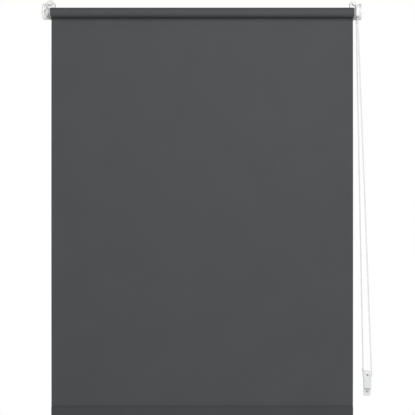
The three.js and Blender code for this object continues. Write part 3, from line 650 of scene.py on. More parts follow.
# %% [markdown]
# ## The hanging cloth
#
# The cloth leaves the back of the roll and hangs straight down to the hem, held taut by the bar in
# it. A stiffened cloth hangs almost flat: its side edges curl a hair, and there is a very shallow
# wave across the width. A cloth simulation of a taut sheet settles into the same flat plane after
# long steps, so the sheet is modelled as a fine grid and given that curl and wave directly. It starts
# level with the roller's axis, where the last wrap passes into the roll.

# %% Hang the cloth
CLOTH_THICKNESS = 0.00035
SHEET_COLUMNS = 96
SHEET_ROWS = 128
WAVE_DEPTH = 0.0012
CURL_DEPTH = 0.0016
CURL_WIDTH = 0.03

sheet_middle = CLOTH_BACK - CLOTH_THICKNESS / 2
sheet_drop = AXIS.z - SEAM_HEIGHT


def map_threads(piece, place):
    """Gives each corner its place on the cloth, in metres, for the weave."""
    layer = piece.data.uv_layers.new(name="threads")
    for loop in piece.data.loops:
        layer.data[loop.index].uv = place(piece.data.vertices[loop.vertex_index].co)


def hang(point):
    """How far the cloth stands towards the room at a point, from its own weight and stiffness."""
    down = (AXIS.z - point.z) / sheet_drop
    free = math.sin(math.pi * min(max(down, 0), 1)) ** 0.6
    edge = max(0, 1 - (CLOTH_EDGE - abs(point.x)) / CURL_WIDTH)
    wave = math.sin(9.5 * point.x + 1.1) + 0.5 * math.sin(23 * point.x + 4 * down)
    return free * (WAVE_DEPTH * wave * (0.35 + 0.65 * down) - CURL_DEPTH * edge**2)


only()
bpy.ops.mesh.primitive_grid_add(
    x_subdivisions=SHEET_COLUMNS,
    y_subdivisions=SHEET_ROWS,
    size=1,
    location=(0, sheet_middle, AXIS.z - sheet_drop / 2),
    rotation=(math.pi / 2, 0, 0),
)
bpy.context.active_object.scale = (2 * CLOTH_EDGE, sheet_drop, 1)
hung_cloth = settle("hung_cloth")
for vertex in hung_cloth.data.vertices:
    vertex.co.y += hang(vertex.co)
map_threads(hung_cloth, lambda point: (point.x, point.z))
apply(hung_cloth, "SOLIDIFY", thickness=CLOTH_THICKNESS, offset=0)
done(hung_cloth, cloth, "root", "cloth", "fabric_sheet", smooth=60)
HEM_TRAVEL = joint("hem_lift")["range_m"][1]
1 - HEM_TRAVEL / sheet_drop
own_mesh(hung_cloth)

# %% [markdown]
# ## The wound cloth
#
# Half a metre of cloth is still on the tube, in eight turns. The roll isn't quite round: it loses
# one thickness of cloth in each turn, which leaves a small step where the hanging part departs. So
# the outline is a spiral, which is extruded over the width and bored for the tube.

# %% Wind the roll
ROLL_FACETS = 96
ROLL_CORE = 0.0089

spiral = []
for count in range(ROLL_FACETS + 1):
    share = count / ROLL_FACETS
    reach = ROLL_RADIUS - CLOTH_THICKNESS * share
    turn = 2 * math.pi * share
    spiral.append((-CLOTH_EDGE, AXIS.y + reach * math.cos(turn), AXIS.z + reach * math.sin(turn)))
wound_cloth = moulding("wound_cloth", spiral, (2 * CLOTH_EDGE, 0, 0))
cut(wound_cloth, turned("core", rod(-CLOTH_EDGE - FAR, CLOTH_EDGE + FAR, ROLL_CORE)))


def round_the_roll(point):
    """Across the roll, and the length of cloth from the top of the roll."""
    turn = math.atan2(point.z - AXIS.z, point.y - AXIS.y)
    return point.x, turn * ROLL_RADIUS


map_threads(wound_cloth, round_the_roll)
done(wound_cloth, cloth, "roller", "cloth", "fabric_roll", smooth=30)

# %% [markdown]
# ## The hem and its bar
#
# The cloth's end is folded back on itself and welded into a pocket, and a flat aluminium bar in the
# pocket keeps the blind straight. From the end the pocket is a drop: two layers pressed together at
# the seam, opening round the bar. A fine groove on each face is the line of the weld. Plastic caps
# close the bar's ends so that it can't slide out.

# %% Fold the hem
HEM_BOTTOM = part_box("hem_pocket")[0].z
HEM_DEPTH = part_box("hem_pocket")[1].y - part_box("hem_pocket")[0].y
HEM_WALL = 0.0005
HEM_PINCH = 0.006
HEM_STEPS = 10
WELD_LINE_LOW = SEAM_HEIGHT - 0.0032
WELD_LINE_HIGH = SEAM_HEIGHT - 0.0022
WELD_LINE_FACE = 0.00145


def drop_shape(x, inset):
    """The outline of the pocket at x, this far inside its outer face."""
    half = HEM_DEPTH / 2 - inset
    seam = HEM_WALL - inset
    low = HEM_BOTTOM + HEM_DEPTH / 2
    top = SEAM_HEIGHT - inset
    right = []
    for count in range(HEM_STEPS + 1):
        share = count / HEM_STEPS
        width = seam + (half - seam) * (0.5 - 0.5 * math.cos(math.pi * share))
        right.append((sheet_middle + width, top - HEM_PINCH * share))
    round_bottom = arc((sheet_middle, low), half, 0, -180, 2 * HEM_STEPS)
    left = [(2 * sheet_middle - y, z) for y, z in reversed(right)]
    return [(x, y, z) for y, z in (*right, *round_bottom, *left)]


hem = moulding("hem", drop_shape(-CLOTH_EDGE, 0), (2 * CLOTH_EDGE, 0, 0))
inside = drop_shape(-CLOTH_EDGE - FAR, HEM_WALL * 0.98)
cut(hem, moulding("inner", inside, (2 * CLOTH_EDGE + 2 * FAR, 0, 0)))
for side in (-1, 1):
    face = sheet_middle + side * WELD_LINE_FACE
    outside = face + side * HEM_DEPTH
    cut(hem, block(
        "groove",
        (-CLOTH_EDGE - CLEAR, min(face, outside), WELD_LINE_LOW),
        (CLOTH_EDGE + CLEAR, max(face, outside), WELD_LINE_HIGH),
    ))
map_threads(hem, lambda point: (point.x, point.z + (point.y - sheet_middle) * 0.5))
# The hem takes the darker copy of the cloth: painted shade.
done(hem, hem_cloth_painted_shade, "hem", "cloth", "hem_pocket", smooth=30)

# %% Cap the bar
SIDES = (("left", -1), ("right", 1))
CAP_LIP = 0.0018
CAP_WALL = 0.0011
CAP_RIM = 0.0008
CAP_DISH = 0.0004


def bar_cap(side, sign):
    """A rounded lip with a dished face, and a plug that fits into the bar."""
    low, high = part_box(f"bar_end_cap_{side}")
    half = (high.y - low.y) / 2
    outer = high.x if sign > 0 else low.x
    top = arc((0, high.z - half), half, 0, 180, 12)
    bottom = arc((0, low.z + half), half, 180, 360, 12)
    points = [(outer, sheet_middle + y, z) for y, z in (*top, *bottom)]
    cap = moulding(f"bar_cap_{side}", points, (-sign * CAP_LIP, 0, 0))
    edit(cap, "FACE", lambda face: face.normal.x * sign < -0.9)
    bpy.ops.mesh.inset(thickness=CAP_WALL)
    plug_length = high.x - low.x - CAP_LIP
    bpy.ops.mesh.extrude_region_move(TRANSFORM_OT_translate={"value": (-sign * plug_length, 0, 0)})
    edit(cap, "FACE", lambda face: face.normal.x * sign > 0.9)
    bpy.ops.mesh.inset(thickness=CAP_RIM, depth=-CAP_DISH)
    only(cap)
    soften(cap, 0.0003)
    return done(cap, grey_plastic, "hem", "grey_plastic", f"bar_end_cap_{side}")


for side, sign in SIDES:
    bar_cap(side, sign)

# %% [markdown]
# ## Clamp bodies
#
# Each clamp hooks over the sash. Its flat jaw stands in front, and a bridge with a round top goes
# back over the edge, hollow for the sliding rear jaw. As a moulding it has one wall thickness, a
# raised rim round the face and softened edges. A relief groove across the face lets the jaw give a
# little under the screw. The jaw is extruded from its outline, sliced at the sash's edge, and the
# upper part is pulled back to make the bridge.

# %% Mould the clamp bodies
JAW_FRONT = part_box("clamp_body_right")[0].y
BRIDGE_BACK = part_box("clamp_body_right")[1].y
JAW_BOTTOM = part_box("clamp_body_right")[0].z
JAW_THICKNESS = 0.003
DOME_RADIUS = 0.011
DOME_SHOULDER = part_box("clamp_body_right")[1].z - DOME_RADIUS
JAW_CORNER = 0.004
STRAP_LOW = 0.0019
STRAP_HIGH = 0.0083
STRAP_HALF = 0.007
FIT = 0.0003
BRACKET_SCREW_RADIUS = 0.0015
CLAMP_SCREW_RADIUS = 0.002
RELIEF_LOW, RELIEF_HIGH = -0.0034, -0.0002
RELIEF_DEPTH = 0.0014
FACE_MARGIN = 0.0009
FACE_SLOPE = 0.0004
FACE_DEPTH = 0.0003
Y_AXIS = (0, 1, 0)

jaw_back = JAW_FRONT + JAW_THICKNESS


def clamp_outline(middle):
    """The jaw seen from the room: a round top and two rounded bottom corners."""
    left, right = middle - DOME_RADIUS, middle + DOME_RADIUS
    low = JAW_BOTTOM + JAW_CORNER
    return [
        *arc((middle, DOME_SHOULDER), DOME_RADIUS, 0, 180, 32),
        *arc((left + JAW_CORNER, low), JAW_CORNER, 180, 270, 8),
        *arc((right - JAW_CORNER, low), JAW_CORNER, 270, 360, 8),
    ]


def clamp_body(side, sign):
    """The front jaw with its rimmed face, and the hollow bridge over the sash."""
    middle = sign * CLAMP_SCREW.x
    points = [(x, jaw_back, z) for x, z in clamp_outline(middle)]
    body = moulding(f"clamp_{side}", points, (0, -JAW_THICKNESS, 0))
    edit(body, "FACE", lambda face: face.normal.y < -0.9)
    bpy.ops.mesh.inset(thickness=FACE_MARGIN)
    bpy.ops.mesh.inset(thickness=FACE_SLOPE, depth=-FACE_DEPTH)
    bpy.ops.mesh.select_all(action="SELECT")
    bpy.ops.mesh.bisect(plane_co=(0, 0, 0), plane_no=(0, 0, 1))
    edit(body, "FACE", lambda face: face.normal.y > 0.9 and face.center.z > 0)
    reach = BRIDGE_BACK - jaw_back
    bpy.ops.mesh.extrude_region_move(TRANSFORM_OT_translate={"value": (0, reach, 0)})
    only(body)
    outwards(body)
    room = STRAP_HALF + FIT
    tunnel = block(
        "tunnel",
        (middle - room, jaw_back, STRAP_LOW - FIT),
        (middle + room, BRIDGE_BACK + CLEAR, STRAP_HIGH + FIT),
    )
    through_screw = (middle, 0, CLAMP_SCREW.z)
    hole = turned("hole", rod(-FAR, CLEAR, CLAMP_SCREW_RADIUS + FIT), 32, through_screw, Y_AXIS)
    screw = middle_of(f"bracket_screw_{side}")
    seat = turned("seat", rod(-FAR, CLEAR, BRACKET_SCREW_RADIUS + FIT), 24, screw, Y_AXIS)
    relief = block(
        "relief",
        (middle - DOME_RADIUS - CLEAR, JAW_FRONT - CLEAR, RELIEF_LOW),
        (middle + DOME_RADIUS + CLEAR, JAW_FRONT + RELIEF_DEPTH, RELIEF_HIGH),
    )
    cut(body, tunnel, hole, seat, relief)
    soften(body, 0.00035)
    return done(body, white_plastic, "root", "white_plastic", f"clamp_body_{side}")


for side, sign in SIDES:
    clamp_body(side, sign)

# %% [markdown]
# ## Clamp screws
#
# A long screw with a fluted knob pulls the rear jaw in. The knob is one moulding with the screw. Its
# flutes are a ripple in its outline, so the outline is a formula, and its face has a raised rim and
# a slot for a coin. The thread is shown by ridges that are turned, not wound: on two millimetres of
# radius a real helix looks the same.

# %% Turn the clamp screws
KNOB_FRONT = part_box("clamp_screw_right")[0].y
KNOB_BACK = KNOB_FRONT + 0.005
KNOB_RADIUS = (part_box("clamp_screw_right")[1].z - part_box("clamp_screw_right")[0].z) / 2
SCREW_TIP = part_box("clamp_screw_right")[1].y
KNOB_FLUTES = 12
FLUTE_DEPTH = 0.0006
KNOB_POINTS = 120
THREAD_RISE = 0.001
THREAD_DEPTH = 0.0003
DISH_RADIUS = 0.0044
DISH_DEPTH = 0.0003
DISH_SLOPE = 0.0002
COIN_SLOT_REACH = 0.003
COIN_SLOT_HALF = 0.0004
COIN_SLOT_DEPTH = 0.0013


def knob_outline(middle):
    """A round outline with shallow flutes."""
    points = []
    for count in range(KNOB_POINTS):
        turn = 2 * math.pi * count / KNOB_POINTS
        dip = max(0, math.cos(KNOB_FLUTES * turn)) ** 2
        reach = KNOB_RADIUS - FLUTE_DEPTH * dip
        x, z = middle + reach * math.cos(turn), CLAMP_SCREW.z + reach * math.sin(turn)
        points.append((x, KNOB_BACK, z))
    return points


def thread_profile(start, end, radius):
    """A rod whose surface rises and falls like a thread."""
    profile = [(start, 0), (start, radius - THREAD_DEPTH)]
    ridges = int((end - start - THREAD_RISE) / THREAD_RISE)
    for count in range(ridges):
        at = start + THREAD_RISE * (count + 0.5)
        profile += [(at, radius - THREAD_DEPTH), (at + 0.4 * THREAD_RISE, radius)]
        profile += [(at + 0.6 * THREAD_RISE, radius), (at + THREAD_RISE, radius - THREAD_DEPTH)]
    merged = [point for i, point in enumerate(profile) if i == 0 or point != profile[i - 1]]
    return [*merged, (end, radius - THREAD_DEPTH), (end, 0)]


def clamp_screw(side, sign):
    """The fluted knob with its dish and coin slot, and the threaded shaft."""
    middle = sign * CLAMP_SCREW.x
    knob = moulding(f"clamp_knob_{side}", knob_outline(middle), (0, KNOB_FRONT - KNOB_BACK, 0))
    centre = (middle, 0, CLAMP_SCREW.z)
    dish = turned("dish", [
        (KNOB_FRONT - CLEAR, 0),
        (KNOB_FRONT - CLEAR, DISH_RADIUS),
        (KNOB_FRONT + DISH_DEPTH - DISH_SLOPE, DISH_RADIUS),
        (KNOB_FRONT + DISH_DEPTH, DISH_RADIUS - DISH_SLOPE),
        (KNOB_FRONT + DISH_DEPTH, 0),
    ], 48, centre, Y_AXIS)
    cut(knob, dish)
    slot = block(
        "slot",
        (middle - COIN_SLOT_REACH, KNOB_FRONT - CLEAR, CLAMP_SCREW.z - COIN_SLOT_HALF),
        (middle + COIN_SLOT_REACH, KNOB_FRONT + COIN_SLOT_DEPTH, CLAMP_SCREW.z + COIN_SLOT_HALF),
    )
    cut(knob, slot)
    thread = thread_profile(KNOB_BACK - CLEAR, SCREW_TIP, CLAMP_SCREW_RADIUS)
    weld(knob, turned("shaft", thread, 24, centre, Y_AXIS))
    soften(knob, 0.0002, angle=50)
    return done(knob, white_plastic, f"{side}_screw", "white_plastic", f"clamp_screw_{side}")


for side, sign in SIDES:
    clamp_screw(side, sign)

# %% [markdown]
# ## Rear jaws
#
# The rear jaw is a plate that stands behind the sash and a strap that slides in the bridge. Three
# low ribs stiffen the plate's back. The strap is pulled out of the plate, and the screw's hole is
# cut through both.

# %% Mould the rear jaws
JAW_PLATE = 0.0022
PLATE_CORNER = 0.0025
RIB_RISE = 0.0005
RIB_HALF = 0.0006
RIB_SPACING = 0.0055
OVERLAP = 0.0005


def edge_way(piece, edge):
    """The direction of an edge, with positive parts."""
    start, end = (piece.data.vertices[index].co for index in edge.vertices)
    return Vector([abs(part) for part in (end - start).normalized()])


def rear_jaw(side, sign):
    """The plate with its ribs, and the strap just lower than the plate's top edge."""
    low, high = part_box(f"clamp_jaw_{side}")
    middle = sign * CLAMP_SCREW.x
    front, back = high.y - JAW_PLATE, high.y - RIB_RISE
    jaw = block(f"rear_jaw_{side}", (low.x, front, low.z), (high.x, back, high.z))
    edit(jaw, "EDGE", lambda edge: edge_way(jaw, edge).y > 0.9)
    bpy.ops.mesh.bevel(offset=PLATE_CORNER, segments=6, affect="EDGES")
    only(jaw)
    strap = block(
        "strap",
        (middle - STRAP_HALF, low.y, STRAP_LOW),
        (middle + STRAP_HALF, front + OVERLAP, STRAP_HIGH - 0.0002),
    )
    ribs = []
    for place in (-RIB_SPACING, 0, RIB_SPACING):
        ribs.append(block(
            "rib",
            (middle + place - RIB_HALF, back - OVERLAP, low.z + PLATE_CORNER),
            (middle + place + RIB_HALF, high.y, high.z - PLATE_CORNER),
        ))
    weld(jaw, strap, *ribs)
    centre = (middle, 0, CLAMP_SCREW.z)
    bore = rod(low.y - CLEAR, high.y + CLEAR, CLAMP_SCREW_RADIUS + FIT)
    cut(jaw, turned("hole", bore, 32, centre, Y_AXIS))
    soften(jaw, 0.00025)
    return done(jaw, white_plastic, f"{side}_jaw", "white_plastic", f"clamp_jaw_{side}")


for side, sign in SIDES:
    rear_jaw(side, sign)

# %% [markdown]
# ## Rubber pads
#
# A ribbed rubber pad on each jaw keeps the clamp from marking the sash. The ribs run across, so that
# the blind's weight can't slide it down. The pad's outline from the side is a row of ridges, which
# is extruded across the jaw.

# %% Mould the pads
PAD_RIDGE = 0.0018
PAD_GROOVE = 0.0004


def pad(name, node, body, faces_back):
    """A pad whose ridged face looks to the back, or to the front."""
    low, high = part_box(node)
    flat, crest = (low.y, high.y) if faces_back else (high.y, low.y)
    groove = crest - PAD_GROOVE if faces_back else crest + PAD_GROOVE
    count = round((high.z - low.z) / PAD_RIDGE)
    rise = (high.z - low.z) / count
    points = [(low.x, flat, low.z)]
    for ridge in range(count):
        at = low.z + ridge * rise
        points += [(low.x, groove, at)]
        points += [(low.x, crest, at + 0.25 * rise), (low.x, crest, at + 0.75 * rise)]
    points += [(low.x, groove, high.z), (low.x, flat, high.z)]
    made = moulding(name, points, (high.x - low.x, 0, 0))
    soften(made, 0.00012)
    return done(made, grip_rubber, body, "rubber", node)


for side, sign in SIDES:
    pad(f"front_grip_{side}", f"front_pad_{side}", "root", True)
    pad(f"rear_grip_{side}", f"jaw_pad_{side}", f"{side}_jaw", False)

# %% [markdown]
# ## Brackets
#
# Each bracket is a round plate at the roller's end with a flange that is screwed to the clamp. Two
# gussets brace the corner between them. The left plate has a window in its front edge, beside the
# pin's notched collar, for the finger that frees the roller. The plate is extruded from its outline,
# and the flange and gussets are welded on before the holes are cut.

# %% Mould the brackets
PLATE_RADIUS = 0.0195
PLATE_THICKNESS = 0.0027
FLANGE_HALF = 0.016
FLANGE_BACK = JAW_FRONT - FIT
FLANGE_FRONT = FLANGE_BACK - 0.0028
PIN_RADIUS = 0.003
GUSSET_PLACE = 0.0135
GUSSET_HALF = 0.0007
GUSSET_REACH = 0.006
WINDOW_BELOW = 0.0117
WINDOW_ABOVE = 0.0033
WINDOW_REACH = 0.008


def bracket(side, sign, bore):
    """The plate, flange and gussets, with a hole for the pin or the core's screw."""
    low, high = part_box(f"bracket_{side}")
    outer, flange_end = (high.x, low.x) if sign > 0 else (low.x, high.x)
    inner = outer - sign * PLATE_THICKNESS
    spread = math.degrees(math.asin(FLANGE_HALF / PLATE_RADIUS))
    front = arc((AXIS.y, AXIS.z), PLATE_RADIUS, spread, 360 - spread, 56)
    corners = [(FLANGE_BACK, AXIS.z - FLANGE_HALF), (FLANGE_BACK, AXIS.z + FLANGE_HALF)]
    points = [(inner, y, z) for y, z in (*front, *corners)]
    body = moulding(f"end_bracket_{side}", points, (sign * PLATE_THICKNESS, 0, 0))
    flange_start = outer - sign * OVERLAP
    flange = block(
        "flange",
        (min(flange_end, flange_start), FLANGE_FRONT, AXIS.z - FLANGE_HALF),
        (max(flange_end, flange_start), FLANGE_BACK, AXIS.z + FLANGE_HALF),
    )
    gussets = []
    for place in (-GUSSET_PLACE, GUSSET_PLACE):
        height = AXIS.z + place - GUSSET_HALF
        corner = [
            (inner + sign * OVERLAP, FLANGE_FRONT + OVERLAP, height),
            (inner - sign * GUSSET_REACH, FLANGE_FRONT + OVERLAP, height),
            (inner + sign * OVERLAP, FLANGE_FRONT - GUSSET_REACH, height),
        ]
        gussets.append(moulding("gusset", corner, (0, 0, 2 * GUSSET_HALF)))
    weld(body, flange, *gussets)
    socket = turned("socket", rod(inner - FAR, inner + FAR, bore + FIT), 40)
    screw = middle_of(f"bracket_screw_{side}")
    hole = turned("hole", rod(-2 * FAR, 0, BRACKET_SCREW_RADIUS + FIT), 24, screw, Y_AXIS)
    cut(body, socket, hole)
    if side == "left":
        edge = AXIS.y - PLATE_RADIUS
        cut(body, block(
            "window",
            (low.x - CLEAR, edge - CLEAR, AXIS.z - WINDOW_BELOW),
            (low.x + PLATE_THICKNESS + CLEAR, edge + WINDOW_REACH, AXIS.z + WINDOW_ABOVE),
        ))
    soften(body, 0.0003)
    return done(body, white_plastic, "root", "white_plastic", f"bracket_{side}")


bracket("left", -1, PIN_RADIUS)
bracket("right", 1, BRACKET_SCREW_RADIUS)

# %% [markdown]
# ## Screws
#
# The screws are pan heads with a cross recess. The head is a low arc, turned with the shaft in one
# profile, and two thin blades that cross are cut into it for the recess.

# %% Turn the screws
HEAD_HEIGHT = 0.0017
CROSS_DEPTH = 0.0011
CROSS_HALF = 0.00035
FLANGE_HEAD_RADIUS = 0.0032


def pan_screw(name, node, head_radius, shaft_radius, cross):
    """A screw whose head looks to the room. cross is half the width of its recess."""
    low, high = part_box(node)
    centre = (low + high) / 2
    under_head = low.y + HEAD_HEIGHT
    profile = []
    for count in range(11):
        turn = math.radians(8 * count)
        profile.append((low.y + HEAD_HEIGHT * (1 - math.cos(turn)), head_radius * math.sin(turn)))
    profile += [
        (under_head, head_radius),
        (under_head, shaft_radius),
        (high.y - shaft_radius, shaft_radius),
        (high.y, 0),
    ]
    screw = turned(name, profile, 32, centre, Y_AXIS)
    top = Vector((centre.x, low.y, centre.z))
    for wide, tall in ((cross, CROSS_HALF), (CROSS_HALF, cross)):
        corner = Vector((wide, CROSS_DEPTH, tall))
        cut(screw, block("blade", top - corner, top + corner))
    return done(screw, zinc_steel, "root", "steel", node, smooth=35)


for side, sign in SIDES:
    pan_screw(
        f"flange_screw_{side}", f"bracket_screw_{side}", FLANGE_HEAD_RADIUS, BRACKET_SCREW_RADIUS, 0.0018
    )

# %% [markdown]
# ## Side covers
#
# A shallow round cap closes each bracket. The left one is deeper, with a slot at the front that
# marks the side where the roller is freed. The cap is turned with a rounded edge and a shallow dish
# in its face, and then the slot is cut.

# %% Turn the side covers
COVER_RADIUS = 0.0205
COVER_WALL = 0.0018
COVER_RISE = 0.001
COVER_ROUNDING = 0.002
COVER_DISH = 0.0004
DISH_OUTSIDE = 0.0145
DISH_INSIDE = 0.0135
PIN_SLOT_BELOW = 0.0032
PIN_SLOT_ABOVE = -0.0002
PIN_SLOT_WIDTH = 0.0026
PIN_SLOT_REACH = 0.005


def side_cover(side, sign):
    """A cap with a rounded edge and a dished face. The left one has the slot."""
    low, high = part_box(f"side_cover_{side}")
    outer, rim = (high.x, low.x) if sign > 0 else (low.x, high.x)
    rounding = [
        (outer - sign * (COVER_ROUNDING - across), COVER_RADIUS - COVER_ROUNDING + out)
        for across, out in arc((0, 0), COVER_ROUNDING, 90, 0, 8)
    ]
    cover = turned(f"cover_{side}", [
        (rim, COVER_RADIUS - COVER_WALL),
        (rim, COVER_RADIUS),
        *rounding,
        (outer, DISH_OUTSIDE),
        (outer - sign * COVER_DISH, DISH_INSIDE),
        (outer - sign * COVER_DISH, 0),
        (outer - sign * COVER_WALL, 0),
        (outer - sign * COVER_WALL, COVER_RADIUS - COVER_WALL),
    ], 72, AXIS + Vector((0, 0, COVER_RISE)))
    if side == "left":
        edge = AXIS.y - COVER_RADIUS
        cut(cover, block(
            "slot",
            (outer - CLEAR, edge - CLEAR, AXIS.z - PIN_SLOT_BELOW),
            (outer + PIN_SLOT_WIDTH, edge + PIN_SLOT_REACH, AXIS.z + PIN_SLOT_ABOVE),
        ))
    soften(cover, 0.0002)
    return done(cover, white_plastic, "root", "white_plastic", f"side_cover_{side}")


for side, sign in SIDES:
    side_cover(side, sign)

# %% [markdown]
# ## Chain guard and drive wheel
#
# The guard is a thin round shell over the chain wheel, open below for the chain and cut flat behind.
# The drive wheel and the guide wheel have a pocket for each ball and a groove for the thread between
# them. The pockets are cut by a ring of balls the size of a ball and its play.

# %% Mould the guard
GUARD_RADIUS = 0.0185
GUARD_WALL = 0.002
GUARD_SIDE = 0.0012
GUARD_MOUTH_TOP = AXIS.z - 0.0074
guard_low, guard_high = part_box("chain_guard")
WHEEL_RIM = (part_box("chain_wheel")[1].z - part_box("chain_wheel")[0].z) / 2
hole_radius = WHEEL_RIM + 2 * FIT
guard = turned("guard", [
    (guard_low.x, hole_radius),
    (guard_low.x, GUARD_RADIUS - 0.0008),
    (guard_low.x + 0.0003, GUARD_RADIUS - 0.0002),
    (guard_low.x + 0.0009, GUARD_RADIUS),
    (guard_high.x, GUARD_RADIUS),
    (guard_high.x, GUARD_RADIUS - GUARD_WALL),
    (guard_low.x + GUARD_SIDE, GUARD_RADIUS - GUARD_WALL),
    (guard_low.x + GUARD_SIDE, hole_radius),
], 72)
mouth_half = wheel_reach + BALL_RADIUS + 2 * FIT
mouth = block(
    "mouth",
    (guard_low.x - CLEAR, AXIS.y - mouth_half, AXIS.z - 3 * FAR),
    (guard_high.x + CLEAR, AXIS.y + mouth_half, GUARD_MOUTH_TOP),
)
behind = block(
    "behind",
    (guard_low.x - CLEAR, guard_high.y, AXIS.z - 3 * FAR),
    (guard_high.x + CLEAR, AXIS.y + 3 * FAR, AXIS.z + 3 * FAR),
)
cut(guard, mouth, behind)
soften(guard, 0.0002)
done(guard, white_plastic, "root", "white_plastic", "chain_guard")

# %% Turn the ball wheels
WHEEL_LIP = 0.00115
SLOT_HALF = 0.00095
POCKET_ROOM = 0.0002


def ball_wheel(name, centre, axis, pockets, width, bore, first):
    """A grooved wheel with a pocket for each ball. first is the place of its first ball."""
    reach = pitch_radius(pockets)
    rim = reach + WHEEL_LIP
    start = Vector(centre).dot(Vector(axis))
    half = width / 2
    lip = half - BALL_RADIUS
    floor = reach - THREAD_RADIUS - FIT
    profile = [(start + at, radius) for at, radius in (
        (-half, bore), (-half, rim - lip / 2), (-half + lip / 2, rim), (-SLOT_HALF - lip, rim),
        (-SLOT_HALF, reach), (-SLOT_HALF, floor), (SLOT_HALF, floor), (SLOT_HALF, reach),
        (SLOT_HALF + lip, rim), (half - lip / 2, rim), (half, rim - lip / 2), (half, bore),
    )]
    wheel = turned(name, profile, 6 * pockets, centre, axis)
    for count in range(pockets):
        place = Vector(first) - Vector(centre)
        place = Matrix.Rotation(2 * math.pi * count / pockets, 4, axis) @ place + Vector(centre)
        only()
        bpy.ops.mesh.primitive_uv_sphere_add(
            segments=14, ring_count=9, radius=BALL_RADIUS + POCKET_ROOM, location=place
        )
        cut(wheel, settle("ball"))
    return wheel


drive_wheel = ball_wheel("drive_wheel", WHEEL, (1, 0, 0), WHEEL_POCKETS, 0.0074, 0.0043, rear_top)
done(drive_wheel, white_plastic, "roller", "white_plastic", "chain_wheel", smooth=35)
first_ball = math.ceil(rear_run / spacing) * spacing
guide_wheel = ball_wheel(
    "guide_roller", GUIDE, Y_AXIS, GUIDE_POCKETS, 0.007, 0.0023, chain_point(first_ball)
)
done(guide_wheel, white_plastic, "guide", "white_plastic", "guide_wheel", smooth=35)

# %% [markdown]
# ## End plugs and the retracting pin
#
# A grey plug closes each end of the tube. Its flange keeps the cloth off the bracket, and splines
# grip the tube's inside. The left plug holds a sprung white pin, whose notched collar a finger
# pushes inwards to free the roller. A plug is turned, and grooves are cut that leave the splines
# between them. The pin's collar is extruded from a notched outline.

# %% Turn the plugs
FLANGE_RADIUS = (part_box("drive_plug")[1].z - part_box("drive_plug")[0].z) / 2
FLANGE_WIDTH = 0.0037
INSERT_RADIUS = 0.0078
SPLINES = 8
DRIVE_BORE = 0.0053
IDLE_BORE = PIN_RADIUS + FIT
IDLE_FLOOR = 0.005
GROOVE_HALF = 0.0007
GROOVE_END = 0.0002


def plug_profile(start, flange_end, bore, floor, sign):
    """The plug's insert and flange. sign is the side that the flange looks to."""
    flange_start = flange_end - sign * FLANGE_WIDTH
    edge = sign * 0.0005
    outside = [
        (start, INSERT_RADIUS - 0.0006),
        (start + sign * 0.0012, INSERT_RADIUS),
        (flange_start, INSERT_RADIUS),
        (flange_start, FLANGE_RADIUS - 0.0005),
        (flange_start + edge, FLANGE_RADIUS),
        (flange_end - edge, FLANGE_RADIUS),
        (flange_end, FLANGE_RADIUS - 0.0005),
        (flange_end, bore + 0.0022),
        (flange_end - edge, bore + 0.0018),
        (flange_end - edge, bore),
    ]
    if floor:
        return [(start, 0), *outside, (start + sign * floor, bore), (start + sign * floor, 0)]
    return [(start, bore), *outside]


def plug(name, node, start, flange_end, bore, floor, sign):
    """A plug with grooves along its insert. Its bore goes through, or stops at a floor."""
    made = turned(name, plug_profile(start, flange_end, bore, floor, sign), 48)
    ends = sorted((start - sign * CLEAR, flange_end - sign * (FLANGE_WIDTH + GROOVE_END)))
    for count in range(SPLINES):
        angle = 2 * math.pi * count / SPLINES
        middle = AXIS + INSERT_RADIUS * Vector((0, math.cos(angle), math.sin(angle)))
        cut(made, block(
            "groove",
            (ends[0], middle.y - GROOVE_HALF, middle.z - GROOVE_HALF),
            (ends[1], middle.y + GROOVE_HALF, middle.z + GROOVE_HALF),
        ))
    return done(made, grey_plastic, "roller", "grey_plastic", node, smooth=35)


idle_low, idle_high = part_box("idle_plug")
drive_low, drive_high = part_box("drive_plug")
plug("idle_end_plug", "idle_plug", idle_high.x, idle_low.x, IDLE_BORE, IDLE_FLOOR, -1)
plug("drive_end_plug", "drive_plug", drive_low.x, drive_high.x, DRIVE_BORE, 0, 1)

# %% Shape the retracting pin
COLLAR_RADIUS = 0.0085
COLLAR_START = -0.3901
COLLAR_END = -0.3883
NOTCHES = 16
NOTCH_DEPTH = 0.0006
PIN_CHAMFER = 0.0006
pin_low, pin_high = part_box("idle_pin")


def collar_outline():
    """A disc with square notches round its edge."""
    points = []
    for count in range(NOTCHES):
        for share, depth in ((0, 0), (0.5, 0), (0.56, NOTCH_DEPTH), (0.94, NOTCH_DEPTH)):
            turn = 2 * math.pi * (count + share) / NOTCHES
            radius = COLLAR_RADIUS - depth
            y, z = AXIS.y + radius * math.cos(turn), AXIS.z + radius * math.sin(turn)
            points.append((COLLAR_START, y, z))
    return points


pin_shape = chamfered_rod(pin_low.x, pin_high.x, PIN_RADIUS, PIN_CHAMFER)
pin = turned("notched_pin", pin_shape, 40)
weld(pin, moulding("collar", collar_outline(), (COLLAR_END - COLLAR_START, 0, 0)))
soften(pin, 0.00018)
done(pin, white_plastic, "retracting_pin", "white_plastic", "idle_pin")

# %% [markdown]
# ## Springs
#
# One spring pushes the pin out, and two wrap round the fixed core and grip it, so that the blind
# stays where it is left. Each is round wire wound in a helix. A circle of wire is swept with a screw
# modifier, which keeps the wire round.

# %% Wind the springs
WIRE_SIDES = 8
COIL_STEPS = 20
COIL_TURNS = 6


